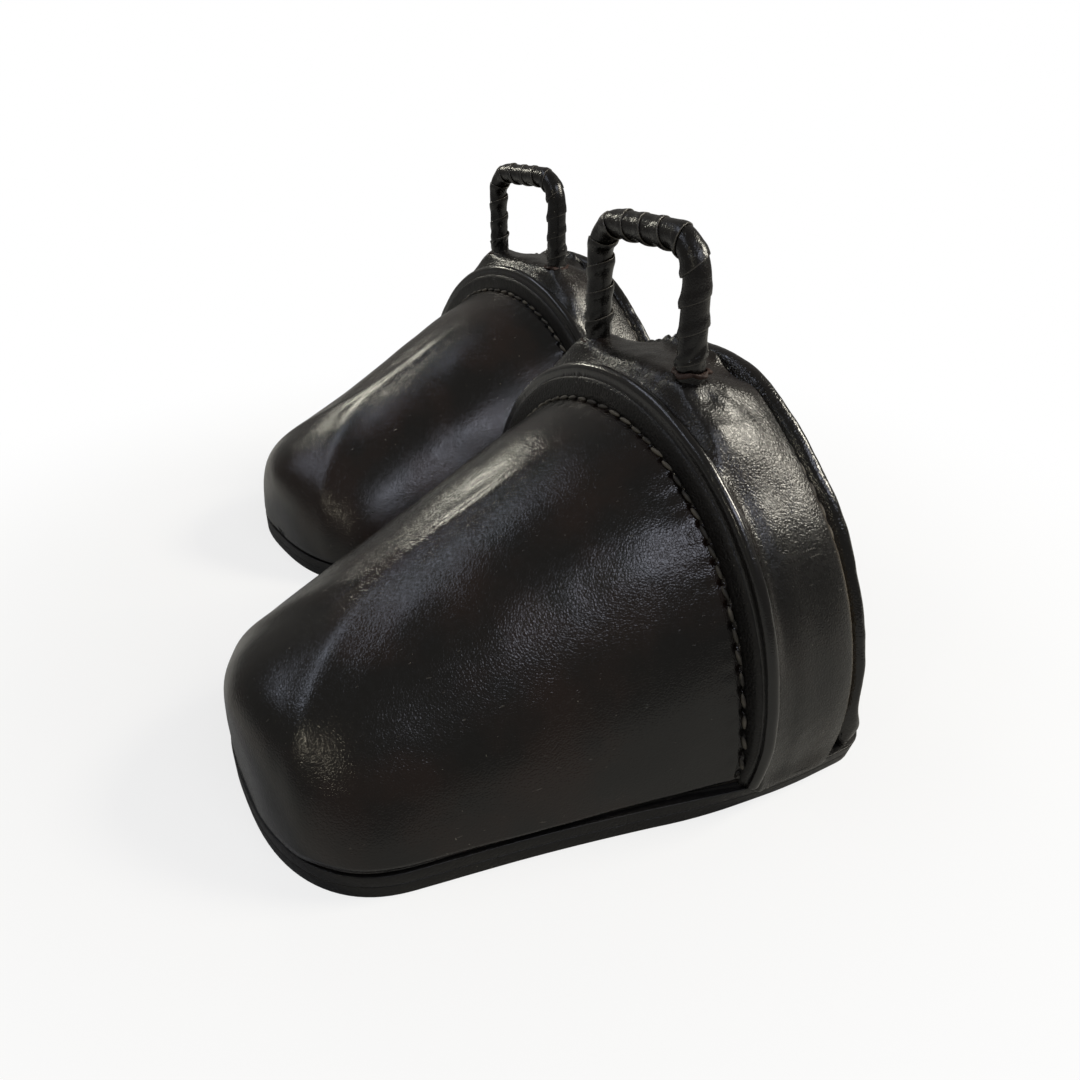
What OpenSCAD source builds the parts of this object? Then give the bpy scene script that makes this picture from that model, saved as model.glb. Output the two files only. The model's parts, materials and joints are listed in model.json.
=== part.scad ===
// A pair of hooded riding stirrups: iron arches covered in black leather, each with a
// moulded toe hood, a leather sole and a wrapped loop that hangs on the stirrup strap.
// Each stirrup is drawn in its own frame: X across, toe towards -Y, Z up, the middle of
// the arch at Y = 0 and the ground at Z = 0. The pair is then set around the origin.

/* [Arch] */
// Outer radius of the leather band over the arch
arch_r = 72.5; // [70:0.5:76]
// Height of the centre of the arch's curve above the ground
arch_centre_z = 25.5; // [22:0.5:30]
// Front-to-back width of the leather band
band_w = 30; // [26:0.5:34]
// Thickness of the band's leather
band_t = 2.4; // [1.8:0.1:3]
// How far the middle of the band swells out between its edges
band_swell = 0.9; // [0.4:0.1:1.5]
// Thickness of the arch lining's leather
lining_t = 1.8; // [1.2:0.1:2.4]

/* [Iron] */
// Thickness of the flat iron bar of the arch
iron_t = 3.5; // [3:0.1:4.5]
// Width of the flat iron bar of the arch
iron_w = 20; // [18:0.5:20]
// Thickness of the tread plate
tread_t = 3.5; // [3:0.1:4.5]
// Front-to-back width of the tread plate
tread_w = 28; // [24:0.5:28]
// Radius of the tread rivets' shanks
rivet_r = 2.5; // [2:0.1:3]
// Radius of the tread rivets' flush heads
rivet_head_r = 4.5; // [4:0.1:5]
// Height of the tread rivets' flush heads
rivet_head_h = 1.5; // [1:0.1:2]

/* [Edges] */
// Radius of the rolled bead along the front edge
bead_r = 3.2; // [2.6:0.1:3.6]
// How far the bead stands proud of the band
bead_proud = 2.8; // [2:0.1:3.4]
// Thickness of the forward-facing rand
rand_t = 1.6; // [1.2:0.1:2]
// Depth of the rear lip behind the band, at the top of the arch
lip_top = 7; // [5:0.5:9]
// Depth of the rear lip behind the band, at the ground
lip_foot = 3.5; // [2.5:0.5:4.5]
// Radius of the stitching thread
thread_r = 0.55; // [0.4:0.05:0.7]
// Distance from one stitch to the next
stitch_pitch = 6; // [5:0.25:8]

/* [Hood] */
// Length of the hood, from the rand to the toe
hood_len = 113; // [105:0.5:120]
// Half the width of the hood at the rand
hood_half_w = 70.8; // [69:0.2:71]
// Height of the hood's top above the ground at the rand
hood_top = 93; // [91:0.5:94]
// Half the width that the hood narrows to before the toe is rounded off
toe_half_w = 46.5; // [42:0.5:52]
// Height that the hood slopes down to at the toe
toe_top = 39; // [34:0.5:46]
// Length over which the toe is rounded off in plan
toe_round = 29.5; // [24:0.5:36]
// Thickness of the hood's leather
hood_t = 3; // [2.2:0.1:3.6]

/* [Sole] */
// Thickness of the outsole
outsole_t = 3.4; // [2.5:0.1:4.5]
// Thickness of the midsole
midsole_t = 3.2; // [2.5:0.1:4.5]
// Thickness of the lasting board, which is the height of the gap above the sole
board_t = 0.8; // [0.6:0.1:1.2]
// How far the sole stands out past the upper
sole_margin = 0.6; // [0:0.1:2]
// Distance from the middle of the arch to the sole's rear edge
sole_rear = 31; // [28:0.5:34]
// Radius of the sole's rear corners
sole_corner_r = 13; // [8:0.5:18]
// Thickness of the insole in the hood and of the pad on the tread
insole_t = 2.2; // [1.6:0.1:3]
// Distance of the sole tacks from the sole's edge
tack_inset = 9; // [7:0.5:12]
// Distance from one sole tack to the next along the straight edges
tack_pitch = 18; // [14:1:24]

/* [Hanger loop] */
// Half the distance between the middles of the loop's legs
loop_half_w = 21.5; // [20:0.25:24]
// Distance of the loop in front of the middle of the arch
loop_front = 3.8; // [0:0.1:4.5]
// Height of the middle of the loop's top bar above the ground
loop_top = 136.8; // [130:0.5:142]
// Bend radius of the loop's corners, at the rod's middle
loop_bend_r = 9; // [7:0.5:10]
// Radius of the iron rod
rod_r = 2.8; // [2.5:0.1:3]
// Radius over the leather wrap
wrap_r = 3.9; // [3.6:0.1:4.2]
// Height above the ground of the leather packed up round the legs
hill_top = 103.4; // [100:0.1:105]
// Radius of the leather collars round the legs
collar_r = 5.6; // [5.2:0.1:6]
// Height of the leather collars round the legs
collar_h = 2.2; // [2:0.1:4]

/* [Pair] */
// Sideways step from the left stirrup to the right one
pair_step_x = 149.5; // [148:0.5:170]
// Rearward step from the left stirrup to the right one
pair_step_y = 47.8; // [40:0.1:60]
// Angle by which the right stirrup turns its toe towards the left one
pair_turn = 5.5; // [0:0.5:6]

/* [Hidden] */

$fn = 96;

// The middle of the pair's footprint, in the left stirrup's frame
pair_centre = [-74.34, -22.81];

// Heights of the layers above the ground
midsole_z = outsole_t;
board_z = midsole_z + midsole_t;
upper_z = board_z + board_t;
plate_z = upper_z + iron_t;
pad_z = plate_z + tread_t;

// Radii of the layers over the arch, from the outside in
iron_r = arch_r - band_t;
lining_r = iron_r - iron_t;
opening_r = lining_r - lining_t;

// Depths, measured forward from the middle of the arch
band_front = band_w / 2;
bead_middle_r = arch_r + bead_proud - bead_r;
bead_step = 1;
bead_middle = band_front - bead_r + bead_step;
rand_front = bead_middle + bead_r;
seam_front = rand_front + 1.2;
toe_front = rand_front + hood_len;
lip_rear = band_front + lip_top;

// Lengths that only have to reach past the part that they cut or join
reach = 200;
overlap = 1;

// Half the width of a layer of radius r at height z
function side_x(r, z) = sqrt(r * r - (arch_centre_z - z) * (arch_centre_z - z));

// Turns a section (X = radius, Y = distance forward) round the arch's centre, and cuts
// its feet off level at a height
module around_arch(foot_z) {
    intersection() {
        translate([0, 0, arch_centre_z])
            rotate([90, 0, 0])
                rotate_extrude()
                    children();
        translate([-reach / 2, -reach / 2, foot_z])
            cube([reach, reach, reach]);
    }
}

// A flat strip round the arch, between two radii and two distances forward
module arch_strip(inner_r, outer_r, rear, front, foot_z) {
    around_arch(foot_z)
        translate([inner_r, rear])
            square([outer_r - inner_r, front - rear]);
}

// Everything in front of the slanting rear plane that trims the lip and the lining
module before_lip_plane() {
    slope = atan((lip_top - lip_foot) / (arch_centre_z + arch_r));
    translate([0, band_front + lip_foot, 0])
        rotate([-slope, 0, 0])
            translate([-reach / 2, -reach, -reach / 2])
                cube([reach, reach, 2 * reach]);
}

// --- hood surface ---

// How far along the hood a distance forward lies, from 0 at the rand to 1 at the toe
function along(front) = min(max((front - rand_front) / hood_len, 0), 1);

// Half width and height of the hood before its toe is rounded off. A power under 1 hollows
// the taper a little.
width_power = 0.77;
height_power = 0.94;
function hood_w_at(front) =
    hood_half_w - (hood_half_w - toe_half_w) * pow(along(front), width_power);
function hood_h_at(front) =
    hood_top - (hood_top - toe_top) * pow(along(front), height_power);

// Share of the width, and of the height, that is left where the toe is rounded off
toe_plan_power = 2.6;
function toe_share(front, length) =
    let (v = min(max((front - toe_front + length) / length, 0), 1))
    pow(1 - pow(v, toe_plan_power), 1 / toe_plan_power);

// The top edge of the toe is rounded over this length, to this share of the height
toe_edge = 12;
toe_edge_share = 0.72;
function toe_height_share(front) =
    toe_edge_share + (1 - toe_edge_share) * toe_share(front, toe_edge);

// The cross-section is an arch between an ellipse, of power 2, and a rounded square. Its
// sides lean in towards the toe.
rand_power = 2.12;
toe_power = 2;
function hood_power(front) = rand_power - (rand_power - toe_power) * along(front);
hood_lean = 0.16;

// A point of the hood's surface, moved inwards by a wall thickness
function hood_point(front, angle, wall) =
    let (
        n = hood_power(front),
        rise = pow(abs(sin(angle)), 2 / n),
        spread = pow(abs(cos(angle)), 2 / n),
        half_w = (hood_w_at(front) - wall) * toe_share(front + wall * along(front), toe_round),
        height = (hood_h_at(front) - wall - upper_z) * toe_height_share(front)
    )
    [
        sign(cos(angle)) * half_w * spread * (1 - hood_lean * along(front) * rise),
        -front,
        upper_z + height * rise
    ];

// Distances forward of the hood's rings: even along the cone, then closing up round the
// toe, up to a narrow flat facet at its tip
hood_rings = 8;
toe_rings = 9;
tip_angle = 84;
section_steps = 32;

function ring_fronts(wall) =
    let (
        start = rand_front,
        turn = toe_front - toe_round - wall,
        cone = [for (i = [0:hood_rings - 1]) start + (turn - start) * i / hood_rings],
        toe = [
            for (i = [0:toe_rings])
                turn + toe_round * sin(tip_angle * i / toe_rings)
        ]
    )
    concat(cone, toe);

// The hood's wall: an outer skin and an inner one, joined along the rear edge and the foot
module hood_shell(wall) {
    row = section_steps + 1;
    outer_fronts = ring_fronts(0);
    inner_fronts = ring_fronts(wall);
    rings = len(outer_fronts);
    inner = rings * row;
    tip = (rings - 1) * row;
    points = concat(
        [for (front = outer_fronts) for (j = [0:section_steps])
            hood_point(front, 180 * j / section_steps, 0)],
        [for (front = inner_fronts) for (j = [0:section_steps])
            hood_point(front, 180 * j / section_steps, wall)]
    );
    skins = [
        for (i = [0:rings - 2], j = [0:section_steps - 1])
            let (a = i * row + j, b = a + row)
            each [[a, b, b + 1, a + 1], [inner + a, inner + a + 1, inner + b + 1, inner + b]]
    ];
    feet = [
        for (i = [0:rings - 2])
            let (a = i * row, b = a + row, c = a + section_steps, d = b + section_steps)
            each [[a, inner + a, inner + b, b], [c, d, inner + d, inner + c]]
    ];
    rear_edge = [
        for (j = [0:section_steps - 1])
            [j, j + 1, inner + j + 1, inner + j]
    ];
    tip_faces = [
        [for (j = [section_steps:-1:0]) tip + j],
        [for (j = [0:section_steps]) inner + tip + j],
        [tip, inner + tip, inner + tip + section_steps, tip + section_steps]
    ];
    polyhedron(points, concat(skins, feet, rear_edge, tip_faces), convexity = 6);
}

// --- sole outline ---

// Outline of the upper on the sole, moved outwards by a margin. It starts at the rear
// corner on one side, goes along that side and ends at the middle of the toe.
corner_steps = 6;
cone_steps = 6;
toe_steps = 20;
function side_outline(margin) =
    let (
        half_w = hood_half_w + margin,
        corner_x = half_w - sole_corner_r,
        corner_y = sole_rear - sole_corner_r,
        corner = [
            for (i = [0:corner_steps])
                let (turn = 90 * i / corner_steps)
                [corner_x + sole_corner_r * sin(turn), corner_y + sole_corner_r * cos(turn)]
        ],
        cone = [
            for (i = [0:cone_steps])
                let (front = rand_front + (hood_len - toe_round) * i / cone_steps)
                [hood_w_at(front) + margin, -front]
        ],
        toe = [
            for (i = [1:toe_steps])
                let (
                    front = toe_front - toe_round + toe_round * sin(90 * i / toe_steps),
                    share = toe_share(front, toe_round),
                    half = (hood_w_at(front) + margin) * share
                )
                [half, -front - margin * along(front)]
        ]
    )
    concat(corner, cone, toe);

module sole_layer(margin, from_z, thickness) {
    right_half = side_outline(margin);
    count = len(right_half);
    left_half = [for (i = [count - 2:-1:0]) [-right_half[i][0], right_half[i][1]]];
    translate([0, 0, from_z])
        linear_extrude(thickness)
            polygon(concat(right_half, left_half));
}

// --- the iron ---

// Middles of the four tread rivets
rivet_inset = 11;
rivet_x = side_x(lining_r, plate_z) - rivet_inset;
rivet_y = 6;

module at_rivets() {
    for (x = [-rivet_x, rivet_x])
        for (y = [-rivet_y, rivet_y])
            translate([x, y, upper_z])
                children();
}

// Length of the feet that the arch's bar turns in on each side
foot_len = 20;

module iron_arch() {
    color("dimgray")
        difference() {
            union() {
                arch_strip(lining_r, iron_r, -iron_w / 2, iron_w / 2, upper_z);
                for (side = [0, 1])
                    mirror([side, 0, 0])
                        translate([side_x(lining_r, upper_z) - foot_len, -iron_w / 2, upper_z])
                            cube([foot_len + overlap, iron_w, iron_t]);
            }
            at_legs(arch_centre_z)
                cylinder(h = arch_r, r = rod_r);
            at_rivets()
                translate([0, 0, -overlap])
                    cylinder(h = iron_t + 2 * overlap, r = rivet_r);
        }
}

// Play between a part that is laid in from the front and the arch at its sides
play = 0.2;

module tread_plate() {
    half_w = side_x(lining_r, plate_z) - play;
    color("dimgray")
        difference() {
            translate([-half_w, -tread_w / 2, plate_z])
                cube([2 * half_w, tread_w, tread_t]);
            at_rivets() {
                cylinder(h = iron_t + tread_t + overlap, r = rivet_r);
                translate([0, 0, iron_t + tread_t - rivet_head_h])
                    cylinder(h = rivet_head_h + overlap, r = rivet_head_r);
            }
        }
}

module tread_rivets() {
    color("silver")
        at_rivets() {
            cylinder(h = iron_t + tread_t, r = rivet_r);
            translate([0, 0, iron_t + tread_t - rivet_head_h])
                cylinder(h = rivet_head_h, r = rivet_head_r);
        }
}

// Puts a shape at the middle of each of the loop's legs, at a height
module at_legs(z) {
    for (x = [-loop_half_w, loop_half_w])
        translate([x, -loop_front, z])
            children();
}

// A rod of radius r bent to the loop's shape, its legs going down to a height
module bent_rod(r, foot_z) {
    straight_top = loop_top - loop_bend_r;
    half_bar = loop_half_w - loop_bend_r;
    at_legs(foot_z)
        cylinder(h = straight_top - foot_z, r = r);
    for (side = [0, 1])
        mirror([side, 0, 0])
            translate([half_bar, -loop_front, straight_top])
                rotate([90, 0, 0])
                    rotate_extrude(angle = 90)
                        translate([loop_bend_r, 0])
                            circle(r);
    translate([-half_bar, -loop_front, loop_top])
        rotate([0, 90, 0])
            cylinder(h = 2 * half_bar, r = r);
}

// The inside of the iron arch, which the loop's ends are peened flush with
module inside_arch(r) {
    translate([0, band_w, arch_centre_z])
        rotate([90, 0, 0])
            cylinder(h = 2 * band_w, r = r);
}

module hanger_loop() {
    color("dimgray")
        difference() {
            bent_rod(rod_r, arch_centre_z + lining_r / 2);
            inside_arch(lining_r);
        }
}

// --- the leather over the arch ---

module loop_wrap() {
    color("#24221f")
        difference() {
            bent_rod(wrap_r, arch_centre_z + lining_r);
            bent_rod(rod_r, arch_centre_z + lining_r / 2);
            inside_arch(iron_r);
        }
}

// The hill of leather packed up round the legs: half the width of its level top and of its
// foot, how far in front of the arch's middle its top and its foot begin, and how low its
// foot and its underside lie
hill_half_w = loop_half_w + collar_r + 0.4;
hill_foot_half_w = hill_half_w + 12.5;
hill_front = 8.6;
hill_foot_front = 11.5;
hill_front_z = 99;
hill_foot_z = 84.5;

module hill() {
    intersection() {
        translate([0, band_front, 0])
            rotate([90, 0, 0])
                linear_extrude(band_front + hill_foot_front)
                    polygon([
                        [-hill_foot_half_w, hill_foot_z],
                        [hill_foot_half_w, hill_foot_z],
                        [hill_half_w, hill_top],
                        [-hill_half_w, hill_top]
                    ]);
        translate([-hill_foot_half_w, 0, 0])
            rotate([90, 0, 90])
                linear_extrude(2 * hill_foot_half_w)
                    polygon([
                        [-hill_foot_front, hill_foot_z],
                        [band_front, hill_foot_z],
                        [band_front, hill_top],
                        [-hill_front, hill_top],
                        [-hill_foot_front, hill_front_z]
                    ]);
    }
}

// The band's section swells out between its edges in a few straight steps
swell_steps = 6;

module arch_band() {
    band_depth = bead_middle + band_front;
    swelled_edge = [
        for (i = [0:swell_steps])
            let (share = i / swell_steps)
            [arch_r + band_swell * 4 * share * (1 - share), -band_front + band_depth * share]
    ];
    color("#2a2825")
        difference() {
            union() {
                around_arch(upper_z)
                    polygon(concat(
                        [[iron_r, bead_middle], [iron_r, -band_front]],
                        swelled_edge
                    ));
                hill();
            }
            inside_arch(iron_r);
            bead(bead_r, upper_z - overlap);
            at_legs(arch_centre_z)
                cylinder(h = reach, r = wrap_r);
        }
}

module leg_collars() {
    color("#4a2f22")
        at_legs(hill_top)
            difference() {
                cylinder(h = collar_h, r = collar_r);
                translate([0, 0, -overlap])
                    cylinder(h = collar_h + 2 * overlap, r = wrap_r);
            }
}

module bead(r, foot_z) {
    around_arch(foot_z)
        translate([bead_middle_r, bead_middle])
            circle(r);
}

module front_piping() {
    color("#242320")
        bead(bead_r, upper_z);
}

// Distance that the rand reaches back, to the front edge of the iron
rand_rear = rand_front - rand_t;

module front_rand() {
    color("#1d1c1a")
        difference() {
            arch_strip(opening_r, bead_middle_r, rand_rear, rand_front, upper_z);
            bead(bead_r, upper_z - overlap);
        }
}

// The stitched groove behind the band, and how far the lip behind it stands proud
groove_w = 1.6;
groove_rise = 0.6;
lip_start = 2.8;
lip_proud = 0.9;
lip_edge = 1;

module rear_welt() {
    root = iron_w / 2;
    color("#201f1c")
        intersection() {
            around_arch(upper_z)
                polygon([
                    [lining_r, -root],
                    [iron_r, -root],
                    [iron_r, -band_front],
                    [iron_r + groove_rise, -band_front - groove_w],
                    [arch_r, -band_front - lip_start],
                    [arch_r + lip_proud, -lip_rear + lip_edge],
                    [arch_r + groove_rise, -lip_rear],
                    [lining_r, -lip_rear]
                ]);
            before_lip_plane();
        }
}

module arch_lining() {
    color("#2b2926")
        intersection() {
            arch_strip(opening_r, lining_r, -lip_rear, rand_rear, pad_z);
            before_lip_plane();
        }
}

// --- hood, floor and sole ---

module hood() {
    color("#262421")
        hood_shell(hood_t);
}

module insole() {
    margin = -hood_t - sole_margin;
    color("#3a2c22")
        difference() {
            sole_layer(margin, upper_z, insole_t);
            translate([-reach / 2, -rand_front, 0])
                cube([reach, reach, reach]);
        }
}

// The pad laps over the tread plate's long edges
pad_lap = 1.5;
pad_w = tread_w + 2 * pad_lap;

module tread_pad() {
    half_w = side_x(opening_r, pad_z) - play;
    color("#35291f")
        translate([-half_w, -pad_w / 2, pad_z])
            cube([2 * half_w, pad_w, insole_t]);
}

// The board is set back under the upper, so that a dark gap shows above the sole
board_inset = 2;

module lasting_board() {
    color("#0c0b0a")
        sole_layer(-board_inset, board_z, board_t);
}

module midsole() {
    color("#1f1e1b")
        sole_layer(sole_margin, midsole_z, midsole_t);
}

// The outsole stands out past the midsole by a step
sole_step = 0.3;

module outsole() {
    color("#23211e")
        sole_layer(sole_margin + sole_step, 0, outsole_t);
}

// Sole tacks: along each side, round the toe and across the rear
tack_head_r = 2.2;
tack_head_h = 0.8;
tack_shank_r = 0.9;
toe_tack_angles = [18, 44, 66, 81];

module tack() {
    cylinder(h = tack_head_h, r = tack_head_r, $fn = 24);
    cylinder(h = upper_z - tack_head_h, r = tack_shank_r, $fn = 24);
}

module sole_tacks() {
    toe_start = toe_front - toe_round;
    rear_y = sole_rear - tack_inset;
    color("silver")
        for (side = [0, 1])
            mirror([side, 0, 0]) {
                for (front = [-rear_y : tack_pitch : toe_start])
                    translate([hood_w_at(front) - tack_inset, -front, 0])
                        tack();
                for (angle = toe_tack_angles) {
                    front = toe_start + toe_round * sin(angle);
                    half_w = hood_w_at(front) * toe_share(front, toe_round);
                    inset_share = (front - toe_start) / toe_round;
                    translate([
                        half_w - tack_inset * (1 - inset_share),
                        -front + tack_inset * inset_share,
                        0
                    ])
                        tack();
                }
                for (x = [tack_pitch / 2 : tack_pitch : hood_half_w - tack_pitch])
                    translate([x, rear_y, 0])
                        tack();
            }
}

// --- stitching ---

// One stitch of a length, along Y, with round ends
module stitch(length) {
    rotate([90, 0, 0])
        cylinder(h = length, r = thread_r, center = true, $fn = 16);
}

stitch_len = stitch_pitch * 0.7;

// The number of stitches that gives the pitch along the hood's rear edge, which is about
// half a circle of the mean radius, and the angle of the first one above the foot
seam_mean_r = (hood_half_w + hood_top - upper_z) / 2;
front_stitches = 2 * floor(PI / 2 * seam_mean_r / stitch_pitch) + 3;
front_turn = 4;

module front_seam() {
    small_turn = 0.5;
    color("gray")
        for (i = [0:front_stitches - 1]) {
            turn = front_turn + (180 - 2 * front_turn) * i / (front_stitches - 1);
            here = hood_point(seam_front, turn, 0);
            next = hood_point(seam_front, turn + small_turn, 0);
            translate(here)
                rotate([0, -atan2(next[2] - here[2], next[0] - here[0]), 0])
                    rotate([0, 0, 90])
                        stitch(stitch_len);
        }
}

// The rear stitches lie in the groove between the band's edge and the lip, and end a
// stitch's half length above the foot
rear_seam_r = iron_r + 0.9;
rear_seam_y = band_front + 1.4;
rear_turn = asin((arch_centre_z - upper_z - stitch_len / 2 - overlap) / rear_seam_r);
rear_arc = (180 + 2 * rear_turn) * PI / 180 * rear_seam_r;
rear_stitches = 1 + floor(rear_arc / stitch_pitch);

module rear_seam() {
    color("gray")
        translate([0, rear_seam_y, arch_centre_z])
            for (i = [0:rear_stitches - 1]) {
                turn = (180 + 2 * rear_turn) * i / (rear_stitches - 1) - rear_turn;
                rotate([0, -turn, 0])
                    translate([rear_seam_r, 0, 0])
                        rotate([90, 0, 0])
                            stitch(stitch_len);
            }
}

// --- places of the two stirrups ---

module left_side() {
    translate([-pair_centre[0], -pair_centre[1], 0])
        children();
}

module right_side() {
    translate([-pair_centre[0] - pair_step_x, -pair_centre[1] + pair_step_y, 0])
        rotate([0, 0, pair_turn])
            children();
}

left_side() iron_arch();  // left_iron_arch
left_side() tread_plate();  // left_tread_plate
left_side() tread_rivets();  // left_tread_rivets
left_side() hanger_loop();  // left_hanger_loop
left_side() loop_wrap();  // left_loop_wrap
left_side() leg_collars();  // left_leg_collars
left_side() arch_band();  // left_arch_band
left_side() front_piping();  // left_front_piping
left_side() front_rand();  // left_front_rand
left_side() hood();  // left_hood
left_side() front_seam();  // left_front_seam
left_side() rear_welt();  // left_rear_welt
left_side() rear_seam();  // left_rear_seam
left_side() arch_lining();  // left_arch_lining
left_side() tread_pad();  // left_tread_pad
left_side() insole();  // left_insole
left_side() lasting_board();  // left_lasting_board
left_side() midsole();  // left_midsole
left_side() outsole();  // left_outsole
left_side() sole_tacks();  // left_sole_tacks
right_side() iron_arch();  // right_iron_arch
right_side() tread_plate();  // right_tread_plate
right_side() tread_rivets();  // right_tread_rivets
right_side() hanger_loop();  // right_hanger_loop
right_side() loop_wrap();  // right_loop_wrap
right_side() leg_collars();  // right_leg_collars
right_side() arch_band();  // right_arch_band
right_side() front_piping();  // right_front_piping
right_side() front_rand();  // right_front_rand
right_side() hood();  // right_hood
right_side() front_seam();  // right_front_seam
right_side() rear_welt();  // right_rear_welt
right_side() rear_seam();  // right_rear_seam
right_side() arch_lining();  // right_arch_lining
right_side() tread_pad();  // right_tread_pad
right_side() insole();  // right_insole
right_side() lasting_board();  // right_lasting_board
right_side() midsole();  // right_midsole
right_side() outsole();  // right_outsole
right_side() sole_tacks();  // right_sole_tacks
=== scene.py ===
# %% [markdown]
# # A pair of hooded riding stirrups
#
# Each stirrup is an iron arch with a flat tread. Black bridle leather covers the arch, a
# moulded hood keeps the rider's foot from sliding through, and a wrapped loop hangs on
# the stirrup strap. The solids of all this come packed as a fixed frame. This lesson
# dresses them: every visible leather piece is made again with the folds, stitches, cut
# edges and grain that saddlers' work has.
#
# We work in millimetres, in the stirrup's own frame: X across, the toe towards -Y, Z up,
# and the middle of the arch at Y = 0. Each finished piece is then moved to its place and
# turned to metres, so both stirrups come from the same few functions.

# %% Load the frame
import json
import math

import bmesh
import bpy
from mathutils import Matrix, Vector, noise


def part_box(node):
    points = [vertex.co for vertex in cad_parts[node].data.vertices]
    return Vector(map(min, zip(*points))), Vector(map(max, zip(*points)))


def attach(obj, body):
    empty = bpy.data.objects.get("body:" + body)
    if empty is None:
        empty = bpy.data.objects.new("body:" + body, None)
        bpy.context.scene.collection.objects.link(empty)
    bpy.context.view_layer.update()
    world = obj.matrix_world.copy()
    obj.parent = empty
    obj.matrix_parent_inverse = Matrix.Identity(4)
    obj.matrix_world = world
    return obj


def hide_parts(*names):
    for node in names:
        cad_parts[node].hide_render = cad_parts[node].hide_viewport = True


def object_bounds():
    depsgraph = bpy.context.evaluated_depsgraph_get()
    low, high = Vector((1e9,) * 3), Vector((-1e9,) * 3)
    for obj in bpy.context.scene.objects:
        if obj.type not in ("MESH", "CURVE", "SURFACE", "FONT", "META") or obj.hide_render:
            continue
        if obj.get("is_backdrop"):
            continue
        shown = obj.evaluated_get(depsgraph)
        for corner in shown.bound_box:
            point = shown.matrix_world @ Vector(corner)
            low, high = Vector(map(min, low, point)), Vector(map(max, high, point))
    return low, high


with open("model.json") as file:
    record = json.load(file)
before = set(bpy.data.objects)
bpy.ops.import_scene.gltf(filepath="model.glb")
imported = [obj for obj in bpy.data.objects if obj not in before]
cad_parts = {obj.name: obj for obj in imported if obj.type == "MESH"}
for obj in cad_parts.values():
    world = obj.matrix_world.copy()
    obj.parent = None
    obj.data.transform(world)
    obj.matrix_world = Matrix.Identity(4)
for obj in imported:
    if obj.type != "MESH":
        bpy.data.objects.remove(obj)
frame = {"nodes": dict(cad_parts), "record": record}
cad_low, cad_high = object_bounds()
MM = 0.001
SIDES = ("left", "right")
print("the frame's box in mm:", [round(size / MM, 1) for size in cad_high - cad_low])

# %% [markdown]
# ## Where the two stirrups stand
#
# The record gives two mounts for each stirrup: the ground face under the middle of the
# arch, and the strap slot with the way through the loop. The first is the stirrup's place
# and the second its turn. We could also type the numbers in, but then a change in the
# frame would leave the leather behind.

# %% Places of the stirrups
def stirrup_place(side):
    """The matrix that takes a point in the stirrup's own frame to the pair's frame."""
    mounts = {mount["name"]: mount for mount in frame["record"]["mounts"]}
    x, y, _ = mounts[side + "_ground_face"]["pos_m"]
    through = mounts[side + "_strap_slot"]["axis"]
    turn = math.atan2(-through[0], through[1])
    return Matrix.Translation((x, y, 0)) @ Matrix.Rotation(turn, 4, "Z")


place = {side: stirrup_place(side) for side in SIDES}
for side in SIDES:
    print(side, "stands at", [round(x / MM, 1) for x in place[side].translation])

# %% [markdown]
# ## Measuring the frame
#
# A node's box tells most of a turned part: half its width is its radius, and its top
# less that radius is the height of its centre. We measure the left stirrup, which isn't
# turned, and use the sizes for both.

# %% Boxes of the left stirrup's nodes
def node_box(node):
    """Lowest and highest corner of a node in the stirrup's own frame, in millimetres."""
    home = place["left"].inverted()
    return [(home @ corner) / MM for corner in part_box("left_" + node)]


iron_low, iron_high = node_box("iron_arch")
piping_low, piping_high = node_box("front_piping")
lining_low, lining_high = node_box("arch_lining")
band_rear = node_box("arch_band")[1].y
lip_rear = node_box("rear_welt")[1].y
hood_low, hood_high = node_box("hood")
wrap_low, wrap_high = node_box("loop_wrap")
seam_low, seam_high = node_box("front_seam")
groove_low, groove_high = node_box("rear_seam")
collar_low, collar_high = node_box("leg_collars")

# %% Sizes of the arch
BAND_T, LINING_T = 2.4, 1.8
foot_z = iron_low.z
iron_r = (iron_high.x - iron_low.x) / 2
centre_z = iron_high.z - iron_r
arch_r = iron_r + BAND_T
lining_r = lining_high.x
opening_r = lining_r - LINING_T
bead_r = (piping_high.y - piping_low.y) / 2
bead_y = (piping_high.y + piping_low.y) / 2
bead_ring_r = piping_high.x - bead_r
print(f"arch: radius {arch_r:.1f}, centre {centre_z:.1f} up, bead {bead_r:.1f} thick")

# %% Sizes of the hood and the loop
LOOP_BEND_R = 10
rand_front = -piping_low.y
hood_len = -hood_low.y - rand_front
toe_front = -hood_low.y
hood_half_w = hood_high.x
hood_top = hood_high.z
seam_front = -(seam_low.y + seam_high.y) / 2
wrap_r = (wrap_high.y - wrap_low.y) / 2
loop_half_w = wrap_high.x - wrap_r
loop_top = wrap_high.z - wrap_r
loop_y = (wrap_high.y + wrap_low.y) / 2
hill_top = collar_low.z
print(f"hood: {hood_len:.1f} long, {2 * hood_half_w:.1f} wide; loop: {loop_top:.1f} up")

# %% [markdown]
# ## Camera
#
# The pair is seen from close by, from the right of the toes and from above, as if it lay
# on a bench in front of us. A short lens near the object gives the strong narrowing
# towards the far stirrup. We build the camera's axes from two angles and a small roll.

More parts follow.
